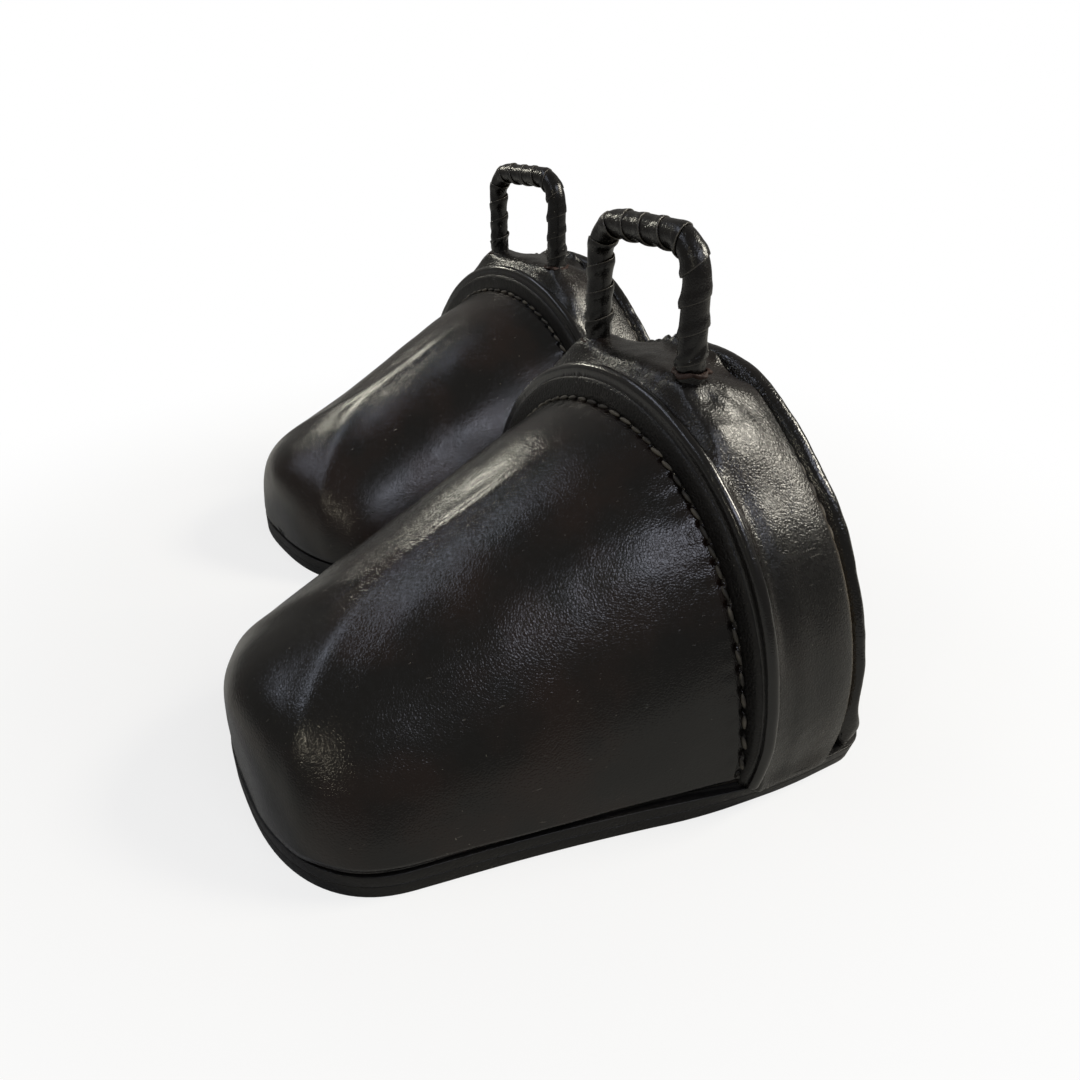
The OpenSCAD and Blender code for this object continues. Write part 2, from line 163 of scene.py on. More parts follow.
# %% Camera
CAMERA_AT, CAMERA_TURNS = (0.2665, -0.1244, 0.1707), (60.16, 27.69, -0.74)
LENS_MM, SENSOR_MM = 29.07, 36
camera_data = bpy.data.cameras.new("camera")
camera = bpy.data.objects.new("camera", camera_data)
bpy.context.scene.collection.objects.link(camera)
azimuth, elevation, roll = (math.radians(angle) for angle in CAMERA_TURNS)
back = Vector((
    math.sin(azimuth) * math.cos(elevation),
    -math.cos(azimuth) * math.cos(elevation),
    math.sin(elevation),
))
level_right = Vector((math.cos(azimuth), math.sin(azimuth), 0))
level_up = back.cross(level_right)
right = math.cos(roll) * level_right + math.sin(roll) * level_up
up = back.cross(right)
axes = Matrix((right, up, back)).transposed().to_4x4()
camera.matrix_world = Matrix.Translation(CAMERA_AT) @ axes
camera_data.lens = LENS_MM
camera_data.sensor_width = SENSOR_MM
camera_data.clip_start = 0.01
bpy.context.scene.camera = camera
bpy.context.scene.view_settings.view_transform = "Standard"
print("camera looks along", [round(x, 2) for x in -back])

# %% [markdown]
# ## Colours and nodes
#
# Two small helpers serve every material. One turns a colour as we write it, an sRGB hex
# value, to the linear numbers that shaders take. The other adds a node with its settings
# and links its sockets, so that a material reads as a list of its layers.

# %% Helpers for materials
def linear(hex_colour):
    """An sRGB hex colour as linear red, green, blue and alpha."""
    parts = [int(hex_colour[i : i + 2], 16) / 255 for i in (1, 3, 5)]
    return [
        p / 12.92 if p <= 0.04045 else ((p + 0.055) / 1.055) ** 2.4 for p in parts
    ] + [1.0]


def add_node(tree, kind, sockets, **settings):
    """Adds a node: settings are its properties, sockets are values, links or nodes."""
    made = tree.nodes.new("ShaderNode" + kind)
    for name, value in settings.items():
        setattr(made, name, value)
    for name, value in sockets.items():
        if isinstance(value, bpy.types.Node):
            value = next(output for output in value.outputs if output.enabled)
        if isinstance(value, bpy.types.NodeSocket):
            tree.links.new(value, made.inputs[name])
        else:
            made.inputs[name].default_value = value
    return made


def new_material(name):
    """A new material with its nodes, its shader and the object's own coordinates."""
    material = bpy.data.materials.new(name)
    material.use_nodes = True
    tree = material.node_tree
    spot = add_node(tree, "TexCoord", {}).outputs["Object"]
    return material, tree, tree.nodes["Principled BSDF"], spot


# %% [markdown]
# ## Floor, backdrop and lamps
#
# Black leather shows almost nothing of its own colour: what we see on it is the
# reflection of its surroundings. So the lamps matter more than the dye. Two windows stand
# close by. The one beyond the hoods draws the long light on the crest, and the one behind
# the arch draws the broad grainy light on the band. Being close, they light the near
# stirrup more than the far one. A strip of sky, a side window and a small lamp before the
# toes stand farther off. The floor is pale, and the camera sees it and the world white,
# while the leather is lit by the lamps and a dim room.

# %% World
ROOM_LIGHT, WHITE_IN_GLOSS = 0.29, 0.06
WHITE = (1, 1, 1, 1)
SMOOTH = {"interpolation_type": "SMOOTHSTEP"}


def white_for_camera(tree, share):
    """A factor that is 1 for the camera and through glass, and a share in reflections."""
    ray = add_node(tree, "LightPath", {}).outputs
    seen = add_node(
        tree,
        "Math",
        {0: ray["Is Glossy Ray"], 1: share, 2: ray["Is Camera Ray"]},
        operation="MULTIPLY_ADD",
    )
    return add_node(
        tree, "Math", {0: seen, 1: ray["Is Transmission Ray"]}, operation="MAXIMUM"
    )


room = bpy.data.worlds.new("room")
room.use_nodes = True
bpy.context.scene.world = room
tree = room.node_tree
tree.nodes.clear()
dim = add_node(
    tree, "Background", {"Color": linear("#b3aea6"), "Strength": ROOM_LIGHT}
)
white = add_node(tree, "Background", {"Color": WHITE, "Strength": 1.0})
seen_white = white_for_camera(tree, WHITE_IN_GLOSS)
mixed = add_node(tree, "MixShader", {0: seen_white, 1: dim, 2: white})
add_node(tree, "OutputWorld", {"Surface": mixed})

# %% Floor
FLOOR_REACH = 4
SHADOW_FROM, SHADOW_TO, SHADOW_PALE = 0.1, 0.32, 0.76
floor_mesh = bpy.data.meshes.new("floor")
bm = bmesh.new()
bmesh.ops.create_grid(bm, x_segments=1, y_segments=1, size=FLOOR_REACH)
bm.to_mesh(floor_mesh)
bm.free()
floor = bpy.data.objects.new("floor", floor_mesh)
bpy.context.scene.collection.objects.link(floor)
paper = bpy.data.materials.new("pale_paper")
paper.use_nodes = True
tree = paper.node_tree
tree.nodes.clear()
# Matt white paper, which scatters light evenly. The camera sees it white, but near the
# pair about a quarter of what it sees is the paper's own shade, so the shadow stays.
ray = add_node(tree, "LightPath", {}).outputs
shade = add_node(
    tree,
    "Mix",
    {0: ray["Is Camera Ray"], 6: linear("#bdbdba"), 7: linear("#f2f2f0")},
    data_type="RGBA",
)
matt = add_node(tree, "BsdfDiffuse", {"Color": shade})
white = add_node(tree, "Emission", {"Color": WHITE, "Strength": 1.0})
spot = add_node(tree, "TexCoord", {}).outputs["Object"]
away = add_node(tree, "VectorMath", {0: spot}, operation="LENGTH")
paleness = add_node(
    tree,
    "MapRange",
    {"Value": away, 1: SHADOW_FROM, 2: SHADOW_TO, 3: SHADOW_PALE, 4: 1.0},
    **SMOOTH,
)
paleness = add_node(
    tree, "Math", {0: ray["Is Camera Ray"], 1: paleness}, operation="MULTIPLY"
)
mixed = add_node(tree, "MixShader", {0: paleness, 1: matt, 2: white})
add_node(tree, "OutputMaterial", {"Surface": mixed})
floor_mesh.materials.append(paper)
floor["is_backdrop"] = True

# %% Lamps
def add_window(name, middle, azimuth, elevation, away, size, tilt, brightness, tone):
    """A soft rectangular lamp that faces a middle from away, its angles in degrees."""
    azimuth, elevation, tilt = (math.radians(a) for a in (azimuth, elevation, tilt))
    towards = Vector((
        math.cos(azimuth) * math.cos(elevation),
        math.sin(azimuth) * math.cos(elevation),
        math.sin(elevation),
    ))
    data = bpy.data.lights.new(name, "AREA")
    data.shape = "RECTANGLE"
    data.size, data.size_y = size
    data.energy = brightness * math.pi * size[0] * size[1]
    data.color = linear(tone)[:3]
    lamp = bpy.data.objects.new(name, data)
    turn = towards.to_track_quat("Z", "Y").to_matrix().to_4x4()
    lamp.matrix_world = (
        Matrix.Translation(Vector(middle) + away * towards)
        @ turn
        @ Matrix.Rotation(tilt, 4, "Z")
    )
    bpy.context.scene.collection.objects.link(lamp)


PAIR, BAND, CREST = (0.06, 0.0, 0.07), (0.109, 0.023, 0.095), (0.07, -0.04, 0.085)
# Name, what it faces, azimuth, elevation, distance, size, tilt, brightness and tone
WINDOWS = (
    ("arch_window", BAND, 69, 42, 1.1, (0.42, 0.28), 15, 24.0, "#fff9ea"),
    ("crest_window", CREST, 182, 25, 0.6, (0.08, 0.042), -10, 30.0, "#fffbea"),
    ("sky_strip", PAIR, 232, 51, 2.4, (1.9, 0.28), -16, 3.8, "#e4ecff"),
    ("side_window", PAIR, 6, 53, 2.4, (1.2, 0.6), 0, 4.6, "#e9eeff"),
    ("toe_lamp", PAIR, 289, 30, 2.4, (0.12, 0.14), 0, 42.0, "#fff6dc"),
)
for window in WINDOWS:
    add_window(*window)

# %% [markdown]
# ## Leather
#
# The real pieces are vegetable-tanned cowhide, dyed black, waxed and rubbed until it
# shines. Its grain is a carpet of small pebbles, flattened where the leather was
# stretched and gathered into fine creases where it was pressed together. The pebbles are
# about half a millimetre across. That is too fine to show from here, so they are drawn
# 0.7 to 1.3 mm wide. The dye never quite hides the brown below. One function makes every
# leather here from those layers: a warm and a cold black in patches, the pebbles, the
# creases, the shallow dents of hand work, a few scratches and specks of dust, all with
# sizes in millimetres. Two mesh attributes steer it: `wear` bares rubbed edges, and `cut`
# marks raw cut edges.

# %% The leather's heights
PATCH_MM, CREASE_MM, DENT_MM, DUST_MM = 26, 5.5, 2.6, 0.9
VALLEY_SHARE, CREASE_SHARE = 0.3, 0.035


def leather_heights(tree, spot, grain_mm, grain_deep, crease_deep, dent_deep):
    """Height of the leather's surface in millimetres, and its patches of 0 to 1."""
    per_m = 1 / MM
    bend = add_node(
        tree, "TexNoise", {"Vector": spot, "Scale": per_m / (3 * grain_mm), "Detail": 2.0}
    )
    shift = (0.7 * grain_mm * MM,) * 3
    bent = add_node(
        tree,
        "VectorMath",
        {0: bend.outputs["Color"], 1: shift, 2: spot},
        operation="MULTIPLY_ADD",
    )
    patches = add_node(
        tree, "TexNoise", {"Vector": spot, "Scale": per_m / PATCH_MM, "Detail": 3.0}
    )
    # Pebbles of two sizes: flat shiny tops with narrow valleys between them
    height = 0.0
    for size, deep in ((grain_mm, grain_deep), (1.8 * grain_mm, 0.5 * grain_deep)):
        cells = add_node(
            tree, "TexVoronoi", {"Vector": bent, "Scale": per_m / size},
            feature="DISTANCE_TO_EDGE",
        )
        pebble = add_node(
            tree, "MapRange", {"Value": cells, 1: 0.0, 2: VALLEY_SHARE, 3: 0.0, 4: deep},
            **SMOOTH,
        )
        height = add_node(tree, "Math", {0: pebble, 1: height}, operation="ADD")
    # The grain is stretched flatter in some patches and stands up in others
    relief = add_node(
        tree, "MapRange", {"Value": patches, 1: 0.35, 2: 0.65, 3: 0.8, 4: 1.2}, **SMOOTH
    )
    height = add_node(tree, "Math", {0: height, 1: relief}, operation="MULTIPLY")
    # Creases run where a slow noise passes its middle, and only in some patches
    folds = add_node(
        tree,
        "TexNoise",
        {"Vector": bent, "Scale": per_m / CREASE_MM, "Detail": 3.0, "Distortion": 0.6},
    )
    middle = add_node(tree, "Math", {0: folds, 1: 0.5}, operation="SUBTRACT")
    off_line = add_node(tree, "Math", {0: middle}, operation="ABSOLUTE")
    crease = add_node(
        tree,
        "MapRange",
        {"Value": off_line, 1: 0.0, 2: CREASE_SHARE, 3: -crease_deep, 4: 0.0},
        **SMOOTH,
    )
    creased = add_node(tree, "MapRange", {"Value": patches, 1: 0.45, 2: 0.62}, **SMOOTH)
    height = add_node(
        tree, "Math", {0: crease, 1: creased, 2: height}, operation="MULTIPLY_ADD"
    )
    # Shallow dents of the hand's work
    dents = add_node(
        tree, "TexNoise", {"Vector": spot, "Scale": per_m / DENT_MM, "Detail": 2.0}
    )
    height = add_node(
        tree, "Math", {0: dents, 1: dent_deep, 2: height}, operation="MULTIPLY_ADD"
    )
    return height, patches


# %% The leather
SCRATCH_DEEP, DUST = 0.03, "#77736a"
WAX_IOR, COAT_ROUGHNESS = 1.46, 0.17


def leather(
    name, dye, warm, grain_mm=0.75, grain_deep=0.03, crease_deep=0.03, dent_deep=0.03,
    roughness=0.27, coat=0.25, bare="#4a3c30", raw="#9a8d7a",
):
    """Dyed, waxed cowhide: bare where rubbed, raw where cut. Depths in millimetres."""
    material, tree, shader, spot = new_material(name)
    height, patches = leather_heights(
        tree, spot, grain_mm, grain_deep, crease_deep, dent_deep
    )

    # Scratches are long streaks of a stretched noise, and only its peaks show
    streak = add_node(
        tree,
        "Mapping",
        {"Vector": spot, "Rotation": (0.5, 0.9, 0.4), "Scale": (1400, 90, 1400)},
    )
    streaks = add_node(tree, "TexNoise", {"Vector": streak, "Scale": 1.0, "Detail": 1.0})
    scratch = add_node(tree, "MapRange", {"Value": streaks, 1: 0.76, 2: 0.8}, **SMOOTH)
    height = add_node(
        tree, "Math", {0: scratch, 1: -SCRATCH_DEEP, 2: height}, operation="MULTIPLY_ADD"
    )
    bump = add_node(tree, "Bump", {"Height": height, "Distance": MM, "Strength": 1.0})
    tree.links.new(bump.outputs[0], shader.inputs["Normal"])
    tree.links.new(bump.outputs[0], shader.inputs["Coat Normal"])

    warmth = add_node(tree, "MapRange", {"Value": patches, 1: 0.4, 2: 0.65}, **SMOOTH)
    colour = add_node(
        tree, "Mix", {0: warmth, 6: linear(dye), 7: linear(warm)}, data_type="RGBA"
    )
    # Rubbed edges lose their dye in spots, and cut edges show the hide's own brown
    spots = add_node(tree, "TexNoise", {"Vector": spot, "Scale": 700.0, "Detail": 4.0})
    worn = add_node(tree, "Attribute", {}, attribute_name="wear").outputs["Fac"]
    bared = add_node(tree, "Math", {0: worn, 1: spots}, operation="MULTIPLY")
    bared = add_node(
        tree, "MapRange", {"Value": bared, 1: 0.35, 2: 0.6, 3: 0.0, 4: 0.8}, **SMOOTH
    )
    colour = add_node(
        tree, "Mix", {0: bared, 6: colour, 7: linear(bare)}, data_type="RGBA"
    )
    edge = add_node(tree, "Attribute", {}, attribute_name="cut").outputs["Fac"]
    colour = add_node(
        tree, "Mix", {0: edge, 6: colour, 7: linear(raw)}, data_type="RGBA"
    )
    # Dust specks of a third of a millimetre, a few on each hand's breadth
    dust = add_node(
        tree, "TexNoise", {"Vector": spot, "Scale": 1 / (DUST_MM * MM), "Detail": 0.0}
    )
    specks = add_node(
        tree, "MapRange", {"Value": dust, 1: 0.87, 2: 0.89, 3: 0.0, 4: 0.6}, **SMOOTH
    )
    scraped = add_node(tree, "Math", {0: scratch, 1: 0.25}, operation="MULTIPLY")
    pale = add_node(tree, "Math", {0: specks, 1: scraped}, operation="MAXIMUM")
    colour = add_node(
        tree, "Mix", {0: pale, 6: colour, 7: linear(DUST)}, data_type="RGBA"
    )
    tree.links.new(colour.outputs[2], shader.inputs["Base Color"])
    rough = add_node(
        tree,
        "MapRange",
        {"Value": spots, 1: 0.3, 2: 0.7, 3: roughness - 0.04, 4: roughness + 0.06},
    )
    tree.links.new(rough.outputs[0], shader.inputs["Roughness"])
    shader.inputs["IOR"].default_value = WAX_IOR
    shader.inputs["Coat Weight"].default_value = coat
    shader.inputs["Coat Roughness"].default_value = COAT_ROUGHNESS
    return material


# Band: waxed bridle leather, its grain standing up, so its lights are broad and grainy
band_leather = leather(
    "waxed_black_band_leather", "#100f0e", "#1b1512", grain_deep=0.036,
    crease_deep=0.015, dent_deep=0.015,
)
# Hood: the same hide, moulded wet and rubbed on the last: flatter, shinier and dented
hood_leather = leather(
    "moulded_black_hood_leather", "#0f0e0d", "#1e1410", grain_deep=0.023,
    crease_deep=0.02, dent_deep=0.035, roughness=0.21,
)
print("leathers:", band_leather.name, hood_leather.name)

# %% [markdown]
# ## From a shape to a piece
#
# Every piece ends the same way: it is moved from the stirrup's frame to the pair's, put
# in an object that sits at the origin, given its material, and told which body it rides
# on, and the frame's nodes that it stands for are hidden.
# Hand-made leather is never quite even, so one more helper gives a slow, repeatable
# waviness.

# %% Helpers for pieces
SEED = {"left": 3.7, "right": 11.2}


def finish_piece(bm, name, side, nodes, material):
    """Turns a shape in millimetres into a finished piece on its stirrup."""
    bmesh.ops.transform(bm, matrix=place[side] @ Matrix.Scale(MM, 4), verts=bm.verts)
    mesh = bpy.data.meshes.new(f"{side}_{name}")
    for face in bm.faces:
        face.smooth = True
    bm.to_mesh(mesh)
    bm.free()
    mesh.materials.append(material)
    piece = bpy.data.objects.new(mesh.name, mesh)
    bpy.context.scene.collection.objects.link(piece)
    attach(piece, side + "_stirrup")
    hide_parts(*(f"{side}_{node}" for node in nodes))
    return piece


def add_modifier(piece, kind, **settings):
    """Adds a modifier with its settings."""
    made = piece.modifiers.new(kind.lower(), kind)
    for name, value in settings.items():
        setattr(made, name, value)
    return made


def subdivide(piece, levels):
    """Smooths a piece by subdivision, as much on screen as in a render."""
    add_modifier(piece, "SUBSURF", levels=levels, render_levels=levels)


def waviness(point, size, seed):
    """A slow noise from about -1 to 1, with waves of a size in millimetres."""
    return noise.noise(Vector(point) / size + Vector((seed, seed, seed)))


def smooth_step(value, low, high):
    """0 below low, 1 above high, and an even curve between them."""
    share = min(max((value - low) / (high - low), 0), 1)
    return share * share * (3 - 2 * share)


def near(distance, reach):
    """1 at a distance of 0, falling off smoothly over a reach."""
    return math.exp(-((distance / reach) ** 2))


def soft(value, reach):
    """A value above 0, and 0 below it, with a smooth bend about as wide as its reach."""
    return (value + math.hypot(value, reach)) / 2


# %% [markdown]
# ## The hood
#
# The hood is one piece of thick leather, wetted, stretched over a wooden last and left to
# dry, so it is a smooth shell: an arch in section, narrowing and sloping down to a blunt
# rounded toe. It could be modelled by pulling a sphere about, but a last is drawn as
# sections, so we do the same: a flat grid is laid on the surface that the sections
# describe. Rows lie close together where the stitches pull the edge in, and where the toe
# turns down.

# %% The last's sections
TOE_HALF_W, TOE_TOP, TOE_ROUND = 46.5, 39.0, 29.5
TOE_EDGE, TOE_EDGE_SHARE = 12, 0.72
RAND_POWER, TOE_POWER, HOOD_LEAN = 2.12, 2.0, 0.16


def rounded(front, length):
    """The share of a size that is left where the toe is rounded off over a length."""
    gone = min(max((front - toe_front + length) / length, 0), 1)
    return (1 - gone**2.6) ** (1 / 2.6)


def hood_width(front):
    """Half the hood's width at a distance in front of the arch's middle."""
    along = min(max((front - rand_front) / hood_len, 0), 1)
    return hood_half_w - (hood_half_w - TOE_HALF_W) * along**0.77


def hood_point(front, turn):
    """A point of the last, by its distance forward and its angle round the section."""
    along = min(max((front - rand_front) / hood_len, 0), 1)
    power = RAND_POWER - (RAND_POWER - TOE_POWER) * along
    rise = abs(math.sin(turn)) ** (2 / power)
    spread = math.copysign(abs(math.cos(turn)) ** (2 / power), math.cos(turn))
    half_w = hood_width(front) * rounded(front, TOE_ROUND)
    height = hood_top - (hood_top - TOE_TOP) * along**0.94 - foot_z
    height *= TOE_EDGE_SHARE + (1 - TOE_EDGE_SHARE) * rounded(front, TOE_EDGE)
    lean = 1 - HOOD_LEAN * along * rise
    return Vector((half_w * spread * lean, -front, foot_z + height * rise))


print("the hood's top at the toe:", round(hood_point(toe_front - 14, math.pi / 2).z, 1))

# %% Rows of the hood
EDGE_ROWS, CONE_ROWS, TOE_ROWS = 14, 44, 28
EDGE_STEP = 0.42


def hood_row_front(row):
    """Distance forward of a row of the hood's grid."""
    cone_start = rand_front + EDGE_ROWS * EDGE_STEP
    toe_start = toe_front - TOE_ROUND
    if row <= EDGE_ROWS:
        return rand_front + row * EDGE_STEP
    if row <= EDGE_ROWS + CONE_ROWS:
        return cone_start + (toe_start - cone_start) * (row - EDGE_ROWS) / CONE_ROWS
    round_share = (row - EDGE_ROWS - CONE_ROWS) / TOE_ROWS
    return toe_start + TOE_ROUND * math.sin(math.pi / 2 * round_share)


# %% The seam's stitches, spaced evenly round the hood's rear edge
FIRST_STITCH = math.radians(4)
STITCHES = 43
STITCH_PITCH = 5.4


def stitch_phase(turn):
    """How far an angle lies along the seam, counted in stitches."""
    return (turn - FIRST_STITCH) / (math.pi - 2 * FIRST_STITCH) * (STITCHES - 1)


def seam_pull(front, turn):
    """How far the thread pulls the hood's leather in, in millimetres."""
    phase = stitch_phase(turn)
    off_hole = abs(phase - math.floor(phase) - 0.5) * STITCH_PITCH
    hole = 1.2 * near(math.hypot(off_hole, front - seam_front), 0.6)
    line = 0.4 * near(front - seam_front, 1.1)
    between = 0.5 - 0.5 * math.cos(2 * math.pi * phase)
    pucker = 0.12 * (between - 0.5) * near(front - seam_front - 2.4, 1.8)
    edge = 0.5 * near(front - rand_front, 0.7)
    return hole + line + pucker + edge + shoulder(front)


def shoulder(front):
    """How far the hood rolls over towards its seam, in millimetres."""
    return 1.7 * near(front - rand_front, 12)


# %% Ridges and dents of the hood
RIDGE_START, RIDGE_RUN, RIDGE_OUT = 84, 35, 26
DENTS = {
    "left": (((37, -20, 80), 7, 0.8), ((40, -46, 61), 5, 0.25), ((-8, -60, 71), 6, 0.3)),
    "right": (((30, -30, 78), 8, 0.5), ((48, -70, 45), 7, 0.3)),
}


def ridge_rise(point):
    """Height of the last's soft ridge, which runs down the crown and parts at the toe."""
    front = -point.y
    parted = max(front - RIDGE_START, 0) / RIDGE_RUN
    aside = abs(abs(point.x) - 1 - RIDGE_OUT * parted**1.4)
    height = 0.42 + 0.15 * smooth_step(front, 60, 100)
    height *= smooth_step(front, 24, 60) * (1 - smooth_step(front, 120, 127))
    return height * near(aside, 3.0 + 3.2 * smooth_step(front, 66, 100))


def dent_depth(point, side):
    """Depth of the shallow dents that use has left."""
    return sum(
        deep * near((point - Vector(middle)).length, reach)
        for middle, reach, deep in DENTS[side]
    )


# %% Feet of the hood, the band, the bead and the rand
FOOT_CUT, FOOT_FORWARD, FOOT_HEIGHT = foot_z - 2.4, 1.6, 24


def foot_forward(z):
    """How far the front edges step forward near the ground."""
    return FOOT_FORWARD * (1 - smooth_step(z, FOOT_CUT, FOOT_HEIGHT)) ** 2


# %% The hood's shell
HOOD_T, SOLE_GAP, TUCK, TUCK_HEIGHT, COLUMNS = 3, 1.3, 0.9, 2.2, 440


def shape_hood(side):
    """The hood's outer skin, moved by the thread's pull and the hand's unevenness."""
    seed = SEED[side]
    rows = EDGE_ROWS + CONE_ROWS + TOE_ROWS
    bm = bmesh.new()
    bmesh.ops.create_grid(bm, x_segments=rows, y_segments=COLUMNS, size=0.5)
    facts = {}
    for vert in bm.verts:
        front = hood_row_front(round((vert.co.x + 0.5) * rows))
        turn = math.pi * (vert.co.y + 0.5)
        vert.co = hood_point(front, turn)
        facts[vert] = front, turn
    bmesh.ops.recalc_face_normals(bm, faces=bm.faces)
    bm.normal_update()
    outward = max(bm.faces, key=lambda face: face.calc_center_median().z)
    if outward.normal.z < 0:
        bmesh.ops.reverse_faces(bm, faces=bm.faces)
    bm.normal_update()
    for vert, (front, turn) in facts.items():
        wave = 0.5 * waviness(vert.co, 30, seed) + 0.16 * waviness(vert.co, 11, seed)
        settled = smooth_step(front, rand_front + 2, rand_front + 14)
        foot = smooth_step(foot_z + TUCK_HEIGHT - vert.co.z, 0, TUCK_HEIGHT)
        tucked = Vector((-math.copysign(foot, vert.co.x), 0, 0)) * TUCK
        formed = ridge_rise(vert.co) - dent_depth(vert.co, side) + wave * settled
        vert.co += vert.normal * (formed - seam_pull(front, turn)) + tucked
        vert.co.y -= foot_forward(vert.co.z) * (1 - smooth_step(front, rand_front, 40))
        # The gap over the sole is wider along the sides than round the toe
        gap = SOLE_GAP * (1 - smooth_step(front, 60, 105))
        vert.co.z = max(vert.co.z, foot_z + gap)
    bmesh.ops.remove_doubles(bm, verts=bm.verts, dist=0.02)
    bm.normal_update()
    return bm


for side in SIDES:
    bm = shape_hood(side)
    hood = finish_piece(bm, "hood_shell", side, ["hood"], hood_leather)
    add_modifier(hood, "SOLIDIFY", thickness=HOOD_T * MM, offset=-1)
    print(hood.name, len(hood.data.polygons), "faces")

# %% [markdown]
# ## Stitches
#
# Hood and rand are sewn by hand with two needles and one waxed linen thread. Each stitch
# lies on the leather and dives into a hole at both ends, a little across the line of the
# seam. A long thin ellipsoid shows just that with forty faces, which matters, because
# there are more than a hundred and fifty of them.

# %% Thread
# Linen thread drawn through wax: grey, a little fuzzy, and soiled dark where hands rub it
thread, tree, shader, spot = new_material("waxed_linen_thread")
fuzz = add_node(tree, "TexNoise", {"Vector": spot, "Scale": 2500.0, "Detail": 3.0})
soil = add_node(tree, "TexNoise", {"Vector": spot, "Scale": 160.0, "Detail": 2.0})
soiled = add_node(tree, "MapRange", {"Value": soil, 1: 0.4, 2: 0.6})
colour = add_node(
    tree, "Mix", {0: soiled, 6: linear("#69645a"), 7: linear("#302e2a")}, data_type="RGBA"
)
tree.links.new(colour.outputs[2], shader.inputs["Base Color"])
bump = add_node(tree, "Bump", {"Height": fuzz, "Distance": 0.15 * MM, "Strength": 1.0})
tree.links.new(bump.outputs[0], shader.inputs["Normal"])
shader.inputs["Roughness"].default_value = 0.6

# %% One stitch
THREAD_R = 0.62


def add_stitch(bm, middle, along, outward, length):
    """Lays one stitch at a point, along the seam, on leather that faces outward."""
    along = along.normalized()
    across = outward.cross(along).normalized()
    outward = along.cross(across)
    lie = Matrix((across, outward, along)).transposed().to_4x4()
    size = Matrix.Diagonal((THREAD_R, THREAD_R, length / 2, 1))
    bmesh.ops.create_uvsphere(
        bm,
        u_segments=8,
        v_segments=6,
        radius=1,
        matrix=Matrix.Translation(middle) @ lie @ size,
    )


# %% The front seam
STITCH_SUNK, STITCH_LONG, REAR_STITCH_LONG = 0.2, 4.1, 4.8
for side in SIDES:
    bm = bmesh.new()
    for i in range(STITCHES):
        turn = FIRST_STITCH + (math.pi - 2 * FIRST_STITCH) * i / (STITCHES - 1)
        here = hood_point(seam_front, turn)
        along = hood_point(seam_front, turn + 0.01) - here
        forward = hood_point(seam_front + 1, turn) - here
        outward = forward.cross(along)
        if outward.dot(here - Vector((0, here.y, centre_z))) < 0:
            outward.negate()
        outward.normalize()
        slope = 0.14 + 0.22 * waviness(here, 3, 5.5)
        slant = forward.normalized() * slope * along.length
        sunk = shoulder(seam_front) + STITCH_SUNK + 0.15 * waviness(here, 2, 1.5)
        long = STITCH_LONG + 1.1 * waviness(here, 2.5, 9.1)
        here.y -= foot_forward(here.z)
        add_stitch(bm, here - outward * sunk, along + slant, outward, long)
    finish_piece(bm, "front_stitches", side, ["front_seam"], thread)
print("stitches in a front seam:", STITCHES)

# %% [markdown]
# ## Turned round the arch
#
# The band, the bead, the rand, the lip and the lining all follow the arch, so each is one
# section turned round the arch's middle. On a lathe we would turn a full ring; here the
# section is spun a little past the feet, and a level plane cuts both feet off at once.

# %% Spin a section round the arch
PAST_FOOT = math.radians(24)


def arch_point(radius, turn, depth):
    """A point at a radius and angle round the arch, and a depth behind its middle."""
    return Vector((
        radius * math.cos(turn),
        depth,
        centre_z + radius * math.sin(turn),
    ))


def cut_off(bm, at, facing):
    """Cuts a shape at a plane, keeps the side that the plane faces and closes the cut."""
    bmesh.ops.bisect_plane(
        bm,
        geom=bm.verts[:] + bm.edges[:] + bm.faces[:],
        plane_co=at,
        plane_no=facing,
        clear_inner=True,
    )
    rims = [edge for edge in bm.edges if edge.is_boundary]
    bmesh.ops.holes_fill(bm, edges=rims, sides=0)


def turn_round_arch(section, steps, level):
    """Spins a closed section of (radius, depth) corners and cuts its feet off level."""
    bm = bmesh.new()
    corners = [bm.verts.new(arch_point(r, -PAST_FOOT, depth)) for r, depth in section]
    sides = [bm.edges.new(pair) for pair in zip(corners, corners[1:] + corners[:1])]
    bmesh.ops.spin(
        bm,
        geom=corners + sides,
        cent=(0, 0, centre_z),
        axis=(0, -1, 0),
        angle=math.pi + 2 * PAST_FOOT,
        steps=steps,
    )
    cut_off(bm, (0, 0, level), (0, 0, 1))
    bmesh.ops.remove_doubles(bm, verts=bm.verts, dist=0.001)
    bmesh.ops.recalc_face_normals(bm, faces=bm.faces)
    return bm


def round_arch(vert):
    """A vertex's radius and angle round the arch, and its way straight outward."""
    x, z = vert.co.x, vert.co.z - centre_z
    turn = math.atan2(z, x)
    return math.hypot(x, z), turn, Vector((math.cos(turn), 0, math.sin(turn)))


# %% [markdown]
# ## The band over the arch
#
# A strip of waxed leather is stretched wet over the iron. It dips behind the bead and
# swells between its edges. Under the loop's legs it is packed up to a low hill and drawn
# up further round each leg. The left stirrup's outer leg stands in a puckered pit
# instead, where the strip was slit to get past it. The rear edge was cut with a round
# knife and left raw, so a thin pale line shows there. Behind the loop the edge is torn
# and stands up. All this is one section, spun round the arch, whose points are then moved
# by the height of each feature. Sculpting would do it too, but not the same twice.

